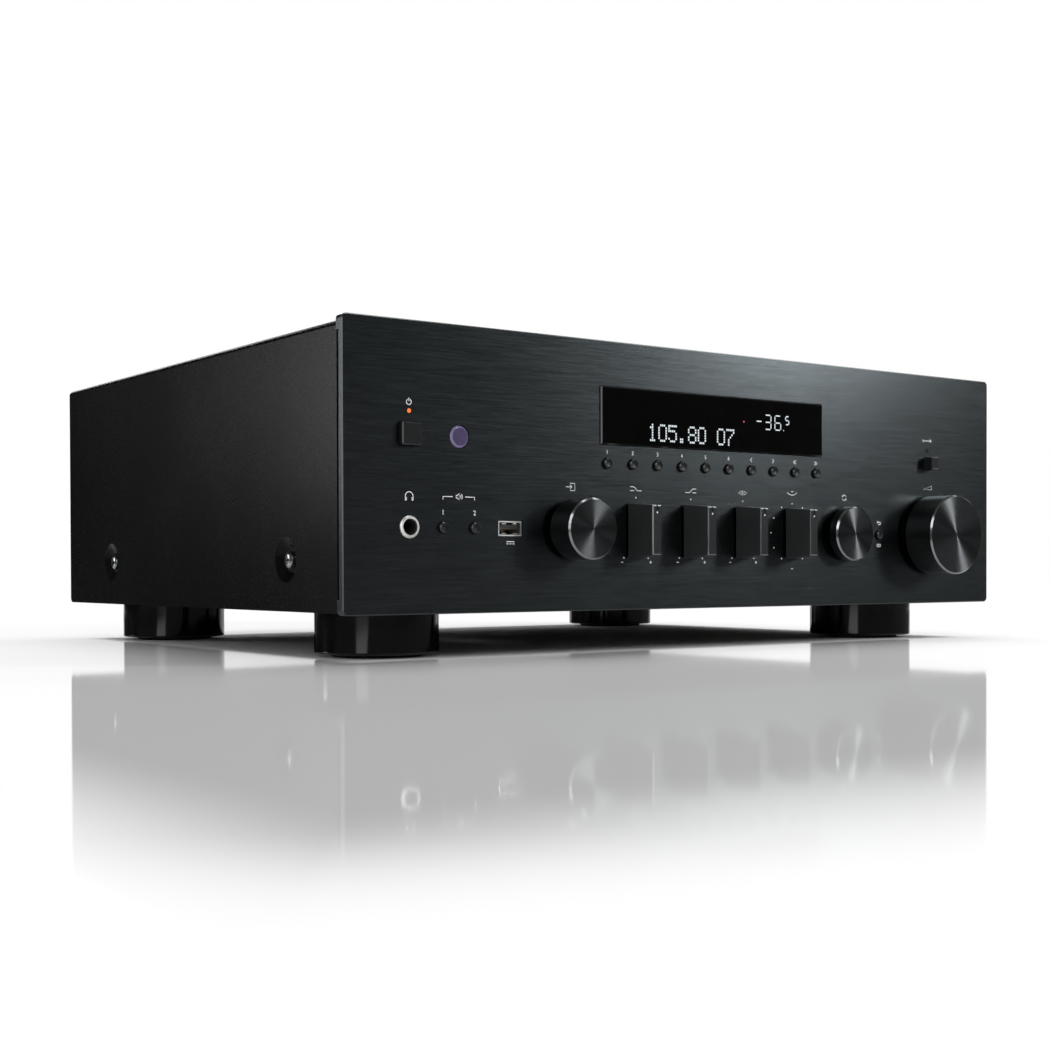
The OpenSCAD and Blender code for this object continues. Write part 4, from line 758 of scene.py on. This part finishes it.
def sevenSegment(mark, x, z, w, h):
    made = []
    for name in segmentsOf[mark]:
        (u0, v0), (u1, v1) = segmentLines[name]
        if v0 == v1:
            u0, u1 = 0.12, 0.88
        else:
            v0, v1 = math.floor(v0) + 0.12, math.floor(v0) + 0.88
        made.append([(x + u0 * w, z + v0 * h / 2), (x + u1 * w, z + v1 * h / 2)])
    return made


def windowAt(x, z, out=0.0):
    return frontAt(x, z, out + display["out"])


volumeLines = moved([[(28.5, 96.5), (31.9, 96.5)]] + sevenSegment("3", 34.5, 92.6, 4.3, 7.4)
                    + sevenSegment("6", 41.7, 92.6, 4.3, 7.4) + sevenSegment("5", 49.6, 95.8, 2.4, 4.2)
                    + [[(47.9, 92.6), (48.3, 92.6)]], display["volumeX"], 0)
pixel = boxMesh(0.86, 0.96, 0.02, 0.0)
glow = [repeat(pixel, [(windowAt(x, z, 0.02), towardFront) for x, z in litDots], 1.0, litSegment),
        drawLines(volumeLines, windowAt, display["segment"], litSegment),
        repeat(turnedMesh([(0, 0), (0.5, 0), (0.45, 0.02), (0, 0.02)], 14),
               [(windowAt(display["lampX"] + display["volumeX"], display["lampZ"], 0.01), towardFront)], 1.0, litRed)]
settle("display_glow", joined("display_glow", glow), "chassis")
print("display lit:", len(litDots), "dots")

# case
topTilt = 0.7


# the top is a little rougher than the sides
def coverPaint(place, normal):
    return 1 if normal.z > topTilt else 0


dress("top_cover", [powderPaint, powderTop], coverPaint)
dress("base_tray", [trayPaint])
dress("rear_panel", [rearPaint])
dress("feet", [footGloss])
dress("foot_pads", [padRubber])


# screws: cross-headed pans on the places of the CAD ones
def screwPlaces():
    mesh = mergedMesh("screws")
    bm = bmesh.new()
    bm.from_mesh(mesh)
    left, found = set(bm.verts), []
    while left:
        stack, island = [left.pop()], []
        while stack:
            v = stack.pop()
            island.append(v.co.copy())
            for edge in v.link_edges:
                other = edge.other_vert(v)
                if other in left:
                    left.remove(other)
                    stack.append(other)
        low = Vector([min(p[i] for p in island) for i in range(3)])
        high = Vector([max(p[i] for p in island) for i in range(3)])
        size, mid = high - low, (low + high) / 2
        axis = max(range(3), key=lambda i: min(abs(size[i] - size[j]) for j in range(3) if j != i))
        wide = max(size[i] for i in range(3) if i != axis)
        sideways = [i for i in range(3) if i != axis]
        seat = [p[axis] for p in island if math.hypot(*(p[i] - mid[i] for i in sideways)) > wide * 0.49]
        toward = 1 if sum(seat) / len(seat) > mid[axis] else -1
        place = mid.copy()
        place[axis] = min(seat) if toward > 0 else max(seat)
        found.append((place, axis, toward, wide))
    bm.free()
    bpy.data.meshes.remove(mesh)
    return found


def screwShape():
    head = turnedMesh([(0, -0.5), (0.24, -0.5), (0.25, -0.02), (0.5, 0), (0.5, 0.12), (0.47, 0.2), (0.38, 0.265),
                       (0.22, 0.29), (0, 0.29)], 36)
    piece = loosePiece("head", head)
    cutters = []
    for w, d in ((0.46, 0.11), (0.11, 0.46)):
        cutter = loosePiece("cutter", boxMesh(w, d, 0.3))
        cutter.data.transform(Matrix.Translation((0, 0, 0.27 * mm)))
        cut = piece.modifiers.new("cut", "BOOLEAN")
        cut.object = cutter
        cut.solver = "EXACT"
        cutters.append(cutter)
    made = evaluated(piece)
    for each in [piece] + cutters:
        discard(each)
    return made


turnOf = {(0, 1): (0, math.pi / 2, 0), (0, -1): (0, -math.pi / 2, 0), (1, 1): towardRear, (1, -1): towardFront,
          (2, 1): (0, 0, 0), (2, -1): (math.pi, 0, 0)}
screwShapes = []
foundScrews = screwPlaces()
for wide in sorted({round(s[3] / mm) for s in foundScrews}):
    chosen = [(place, turnOf[axis, toward]) for place, axis, toward, w in foundScrews if round(w / mm) == wide]
    screwShapes.append(repeat(screwShape(), chosen, float(wide), darkScrew))
settle("screws_skin", smoothed(joined("screws_skin", screwShapes), 30), "chassis", ["screws"])
print("screws placed:", len(foundScrews))

# rear sockets
jackPlaces = {n: p for n, p in mountAt.items() if n.startswith("line_jack") or n.startswith("digital_jack")}
jackRing = dict(inner=1.75, outer=3.3)


def nearestJack(place):
    return min(jackPlaces, key=lambda n: math.hypot(place.x - jackPlaces[n].x, place.z - jackPlaces[n].z))


lowRow = min(p.z for n, p in jackPlaces.items() if n.startswith("line_jack"))


def jackColour(name):
    if name.startswith("digital"):
        return 3
    return 1 if jackPlaces[name].z < lowRow + mm else 2


# centre pin holes are painted dark as painted shade; the bodies behind the panel are dark plastic
def phonoPaint(place, normal):
    name = nearestJack(place)
    p = jackPlaces[name]
    r = math.hypot(place.x - p.x, place.z - p.z) / mm
    out = (place.y - rearY) / mm
    if out < 1.25 and r > 4.2:
        return jackColour(name) if out > -1.2 else 4
    return 4 if r < 1.75 else 0


dress("phono_jacks", [nickel, jackRed, jackWhite, jackOrange, darkPlasticAndShade], phonoPaint)
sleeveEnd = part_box("phono_jacks")[1].y
inner, outer = jackRing["inner"], jackRing["outer"]
ringShape = turnedMesh([(inner, -1.2), (inner, 0.06), (outer, 0.06), (outer + 0.1, -0.05), (outer + 0.1, -1.2),
                        (inner, -1.2)], 28)
inserts = []
for colour, finish in ((1, jackRed), (2, jackWhite), (3, jackOrange)):
    spots = [(Vector((p.x, sleeveEnd, p.z)), towardRear) for n, p in jackPlaces.items() if jackColour(n) == colour]
    inserts.append(repeat(ringShape, spots, 1.0, finish))
settle("jack_inserts", smoothed(joined("jack_inserts", inserts), 30), "chassis")

dress("speaker_terminals", [capBlack])
capEnd = turnedMesh([(2.06, -3.0), (2.06, 0.04), (3.1, 0.04), (3.35, -0.1), (3.35, -3.0), (2.06, -3.0)], 32)
for k in range(1, 9):
    n = "terminal_cap_%d" % k
    dress(n, [capRed if slotOf[n] == "cap_red" else capBlack], angle=35)
    middle = middleOf(n)
    ferrule = repeat(capEnd, [(Vector((middle.x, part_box(n)[1].y, middle.z)), towardRear)], 1.0, nickel)
    settle(n + "_ferrule", smoothed(ferrule, 30), bodyOf[n])

digital = dict(lanX=184.0, opticalX=(160.0, 143.0), z=82.0, face=1.0, contacts=8, pitch=1.02,
               mouthEnd=193.8, mouthHalf=5.0, lanFrame=(16.2, 13.6, 12.1, 8.7), opticalFrame=(11.4, 11.4, 8.5, 8.5))
lanAt = rearAt(digital["lanX"], digital["z"])


# the sunk insides of the socket mouths are painted a darker black: dark plastic with painted shade
def socketPaint(place, normal):
    sunk = (place.y - rearY) / mm < digital["face"] - 0.05
    inMouth = abs(place.z - lanAt.z) < digital["mouthHalf"] * mm and place.x < digital["mouthEnd"] * mm
    return 1 if sunk and inMouth else 0


# a pressed frame round a socket's mouth, from four bars
def mouthFrame(x, w, h, holeW, holeH, finish):
    bars = []
    sides = [(0, side * (h + holeH) / 4, w, (h - holeH) / 2) for side in (1, -1)]
    sides += [(side * (w + holeW) / 4, 0, (w - holeW) / 2, holeH) for side in (1, -1)]
    for u, v, across, tall in sides:
        place = rearAt(x + u, digital["z"] + v, digital["face"] + 0.05)
        bars.append(repeat(boxMesh(across, 0.5, tall, 0.06), [(place, (0, 0, 0))], 1.0, finish))
    return bars


dress("digital_sockets", [frameBlack, darkPlasticAndShade], socketPaint)
frames = mouthFrame(digital["lanX"], *digital["lanFrame"], nickel)
for x in digital["opticalX"]:
    frames += mouthFrame(x, *digital["opticalFrame"], partBlack)
pins = repeat(boxMesh(0.42, 7.0, 0.3, 0.06),
              [(lanAt + Vector(((k - 3.5) * digital["pitch"] * mm, -5.0 * mm, 3.2 * mm)), (-0.18, 0, 0))
               for k in range(digital["contacts"])], 1.0, gold)
lamps = [repeat(boxMesh(2.6, 0.5, 1.5, 0.15), [(lanAt + Vector((x * mm, 1.2 * mm, 5.65 * mm)), (0, 0, 0))], 1.0, finish)
         for x, finish in ((-4.6, lampGreen), (4.6, amberRing))]
settle("network_contacts", joined("network_contacts", frames + [pins] + lamps), "chassis")
lightLens = turnedMesh([(0, 1.4), (0.7, 1.2), (1.1, 0.6), (1.2, 0), (1.2, -0.4), (0, -0.4)], 20)
lights = [repeat(lightLens, [(rearAt(x, digital["z"], -7.9), towardRear)], 1.0, finish)
          for x, finish in zip(digital["opticalX"], (litRed, displayGlass))]
settle("optical_lenses", smoothed(joined("optical_lenses", lights), 30), "chassis")

inletAt = middleOf("mains_inlet")


def inletPaint(place, normal):
    pinX = abs(abs(place.x - inletAt.x) - 5 * mm) < 1.3 * mm
    out = (place.y - rearY) / mm
    return 1 if pinX and abs(place.z - inletAt.z) < 2.4 * mm and -14.9 < out < -1.9 else 0


dress("mains_inlet", [capBlack, nickel], inletPaint)
aerialAt = mountAt["aerial_socket"]


# the centre hole is painted dark as painted shade
def aerialPaint(place, normal):
    r = math.hypot(place.x - aerialAt.x, place.z - aerialAt.z) / mm
    out = (place.y - rearY) / mm
    if out < 1.25 and r > 4.8:
        return 1
    return 2 if r < 1.3 else 0


dress("aerial_socket", [nickel, jackWhite, darkPlasticAndShade], aerialPaint)
collar = repeat(turnedMesh([(1.25, -1.0), (1.25, 0.05), (3.4, 0.05), (3.5, -0.05), (3.5, -1.0), (1.25, -1.0)], 28),
                [(Vector((aerialAt.x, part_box("aerial_socket")[1].y, aerialAt.z)), towardRear)], 1.0, jackWhite)
settle("aerial_insert", smoothed(collar, 30), "chassis")
dress("aerial_foot", [frameBlack])
dress("wireless_aerial", [frameBlack], angle=35)

# printed marks on the rear panel
rearLines, rearText = [], []
for k, x in enumerate((-98.5, -79.5, -60.5, -41.5)):
    for z in (52.8, 62.8):
        if slotOf["terminal_cap_%d" % (k + 1)] == "cap_red":
            rearLines += [[(x - 1.3, z), (x + 1.3, z)], [(x, z - 1.3), (x, z + 1.3)]]
        else:
            rearLines += [[(x - 1.3, z), (x + 1.3, z)]]
rearLines.append([(-112, 24), (-28, 24), (-28, 91), (-112, 91), (-112, 24)])
rearLines.append([(46, 25), (154, 25), (154, 63.5), (46, 63.5), (46, 25)])
rearLines.append([(96.5, 72), (132, 72), (132, 92), (96.5, 92), (96.5, 72)])
for k in range(6):
    rearText.append((str(6 - k), 55 + 18 * k, 66.2, 2.6))
rearText += [("1", -88.9, 94, 3.0), ("2", -51.1, 94, 3.0)]
rearText += [("2", 106, 95.0, 2.6), ("1", 124, 95.0, 2.6), ("2", 143, 95.6, 2.6), ("1", 160, 95.6, 2.6)]
waves = [arc(184, 58, 1.6, 45, 135, 8), arc(184, 58, 3.0, 45, 135, 10), [(184, 55.5), (184, 58.2)]]
earth = [[(-176, 66), (-176, 69)], [(-179, 66), (-173, 66)], [(-178, 64.8), (-174, 64.8)], [(-177, 63.6), (-175, 63.6)]]
rearMarks = [drawLines(rearLines + waves + earth, rearAt, 0.4, inkWhite)] + printText(rearText, rearAt, inkWhite)
settle("rear_marks", joined("rear_marks", rearMarks), "chassis")
print("rear dressed")

# inside, seen through the vents
for n, finish in (("power_transformer", coreLayers), ("heat_sink", sinkBlack), ("power_components", partBlack),
                  ("main_board", boardGreen), ("front_board", boardGreen), ("control_bodies", controlSteel)):
    dress(n, [finish], grain=(0, 1))
print("inside dressed")

# floor, lights and white surroundings
studio = dict(
    ambient=0.17, glossAmbient=0.14, flagAmbient=0.01, viewAxis=(0.587, 0.809, 0.0), flagAxis=(-0.42, 0.907, 0.0),
    flagEdge=(0.6, 0.85), backdropEdge=(0.74, 0.87), floorReach=0.82, floorPale=(0.92,) * 3, floorGrazed=(0.05,) * 3,
    grazing=(0.74, 0.86), polish=0.56, polishAngle=(0.75, 0.84), polishFront=(-0.625, -0.522),
    polishLeft=(-0.485, -0.41), mattEdge=0.015, rimEdge=(0.84, 0.99), rimBehind=(0.2, 0.5),
    overhead=dict(place=(0.15, 0.1, 1.9), aim=(0.0, -0.1, 0.0), size=(1.2, 1.2), power=22.0),
    key=dict(place=(1.425, -1.44, 0.9), aim=(0.05, -0.17, 0.09), size=(0.3, 0.85), power=18.0),
    left=dict(place=(-1.78, -1.17, 0.42), aim=(-0.1, -0.15, 0.08), size=(0.75, 0.8), power=4.5),
    front=dict(place=(-1.1, -1.5, 0.95), aim=(0.0, -0.1, 0.05), size=(0.8, 0.8), power=9.0),
    sheen=dict(place=(-1.32, 1.22, 0.34), aim=(-0.2, -0.1, 0.1), size=(0.35, 0.35), power=4.6),
    back=dict(place=(0.35, 1.7, 0.75), aim=(0.0, 0.2, 0.07), size=(0.9, 0.6), power=9.0),
    rim=dict(place=(1.5, 0.15, 1.65), aim=(0.0, -0.1, 0.1), size=(0.7, 0.7), power=6.0))
reach = studio["floorReach"]
bm = bmesh.new()
bmesh.ops.create_circle(bm, cap_ends=True, segments=96, radius=reach, matrix=Matrix.Translation((0, 0, -0.00005)))
floorMesh = bpy.data.meshes.new("floor")
bm.to_mesh(floorMesh)
bm.free()
floor = loosePiece("floor", floorMesh)
floorWhite = bpy.data.materials.new("floorWhite")
floorWhite.use_nodes = True
tree = floorWhite.node_tree
tree.nodes.clear()
where = addNode(tree, "ShaderNodeTexCoord").outputs["Object"]
across = addNode(tree, "ShaderNodeSeparateXYZ", {0: where}).outputs


def fade(value, start, end, low=0.0, high=1.0):
    return addNode(tree, "ShaderNodeMapRange",
                   {"Value": value, "From Min": start, "From Max": end, "To Min": low, "To Max": high},
                   interpolation_type="SMOOTHSTEP").outputs[0]


def along(place, axis):
    return addNode(tree, "ShaderNodeVectorMath", {0: place, 1: axis}, operation="DOT_PRODUCT").outputs["Value"]


# polished round the object and matt under it, with the polish dying out in front and at the left
polish = math2(tree, "MINIMUM", fade(across[1], *studio["polishFront"]), fade(across[0], *studio["polishLeft"]))
low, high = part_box("base_tray")
soft = studio["mattEdge"]
under = math2(tree, "MULTIPLY", fade(across[0], low.x, low.x + soft), fade(across[0], high.x, high.x - soft))
under = math2(tree, "MULTIPLY", under, fade(across[1], high.y, high.y - soft))
under = math2(tree, "MULTIPLY", under, fade(across[1], low.y, low.y + soft))
polish = math2(tree, "MULTIPLY", polish, math2(tree, "SUBTRACT", 1.0, under))
facing = addNode(tree, "ShaderNodeLayerWeight", {"Blend": 0.5}).outputs["Facing"]
polish = math2(tree, "MULTIPLY", polish, fade(facing, *studio["polishAngle"], 0.0, studio["polish"]))
seen = addNode(tree, "ShaderNodeLightPath").outputs
# reflections that graze the floor see it dark, as in a dim room, and steeper ones see it pale
grazed = math2(tree, "MULTIPLY", seen["Is Glossy Ray"], fade(facing, *studio["grazing"]))
matt = addNode(tree, "ShaderNodeBsdfDiffuse", {"Color": tint(tree, grazed, studio["floorPale"], studio["floorGrazed"])})
mirror = addNode(tree, "ShaderNodeBsdfGlossy", {"Color": (1, 1, 1, 1), "Roughness": 0.05})
polished = addNode(tree, "ShaderNodeMixShader", {0: polish, 1: matt.outputs[0], 2: mirror.outputs[0]})
white = addNode(tree, "ShaderNodeEmission", {"Color": (1, 1, 1, 1), "Strength": 1.0})
out = addNode(tree, "ShaderNodeVectorMath", {0: where}, operation="LENGTH").outputs["Value"]
behind = math2(tree, "MULTIPLY", fade(along(where, studio["viewAxis"]), *studio["rimBehind"]), seen["Is Glossy Ray"])
plainly = math2(tree, "MAXIMUM", seen["Is Camera Ray"], seen["Is Transmission Ray"])
rim = fade(out, *(reach * edge for edge in studio["rimEdge"]))
shown = math2(tree, "MULTIPLY", rim, math2(tree, "MAXIMUM", plainly, behind))
blended = addNode(tree, "ShaderNodeMixShader", {0: shown, 1: polished.outputs[0], 2: white.outputs[0]})
clear = addNode(tree, "ShaderNodeBsdfTransparent")
fromBelow = addNode(tree, "ShaderNodeNewGeometry").outputs["Backfacing"]
oneSided = addNode(tree, "ShaderNodeMixShader", {0: fromBelow, 1: blended.outputs[0], 2: clear.outputs[0]})
addNode(tree, "ShaderNodeOutputMaterial", {"Surface": oneSided.outputs[0]})
floorMesh.materials.append(floorWhite)


def softbox(name, place, aim, size, power):
    light = bpy.data.lights.new(name + "Box", "AREA")
    light.shape = "RECTANGLE"
    light.size, light.size_y = size
    light.energy = power
    lamp = bpy.data.objects.new(name + "Box", light)
    scene.collection.objects.link(lamp)
    lamp.location = place
    lamp.rotation_euler = (Vector(aim) - Vector(place)).to_track_quat("-Z", "Y").to_euler()
    lamp.visible_camera = False


for name in ("overhead", "key", "left", "front", "sheen", "back", "rim"):
    softbox(name, **studio[name])

world = bpy.data.worlds.new("surroundings")
scene.world = world
world.use_nodes = True
tree = world.node_tree
tree.nodes.clear()
heading = addNode(tree, "ShaderNodeTexCoord").outputs["Generated"]
backdrop = fade(along(heading, studio["viewAxis"]), *studio["backdropEdge"])
seen = addNode(tree, "ShaderNodeLightPath").outputs
shiny = math2(tree, "MAXIMUM", seen["Is Glossy Ray"], seen["Is Transmission Ray"])
lit = math2(tree, "MAXIMUM", seen["Is Camera Ray"], math2(tree, "MULTIPLY", backdrop, shiny))
flagged = fade(along(heading, studio["flagAxis"]), *studio["flagEdge"])
dim = tint(tree, flagged, (studio["glossAmbient"],) * 3, (studio["flagAmbient"],) * 3)
low = tint(tree, shiny, (studio["ambient"],) * 3, dim)
around = addNode(tree, "ShaderNodeBackground", {"Color": tint(tree, lit, low, (1.0, 1.0, 1.0)), "Strength": 1.0})
addNode(tree, "ShaderNodeOutputWorld", {"Surface": around.outputs[0]})

camera = dict(place=(-0.541388, -0.754184, 0.041007), heading=-35.98357, pitch=-0.81357, roll=-0.16167,
              lens=52.841, shift=0.06285)
lensData = bpy.data.cameras.new("camera")
lensData.sensor_width = 36
lensData.lens = camera["lens"]
lensData.shift_y = camera["shift"]
lensData.clip_start = 0.01
eye = bpy.data.objects.new("camera", lensData)
scene.collection.objects.link(eye)
eye.matrix_world = (Matrix.Translation(camera["place"]) @ Matrix.Rotation(math.radians(camera["heading"]), 4, "Z")
                    @ Matrix.Rotation(math.radians(90 + camera["pitch"]), 4, "X")
                    @ Matrix.Rotation(math.radians(camera["roll"]), 4, "Z"))
scene.camera = eye
scene.view_settings.view_transform = "Standard"
print("studio set")
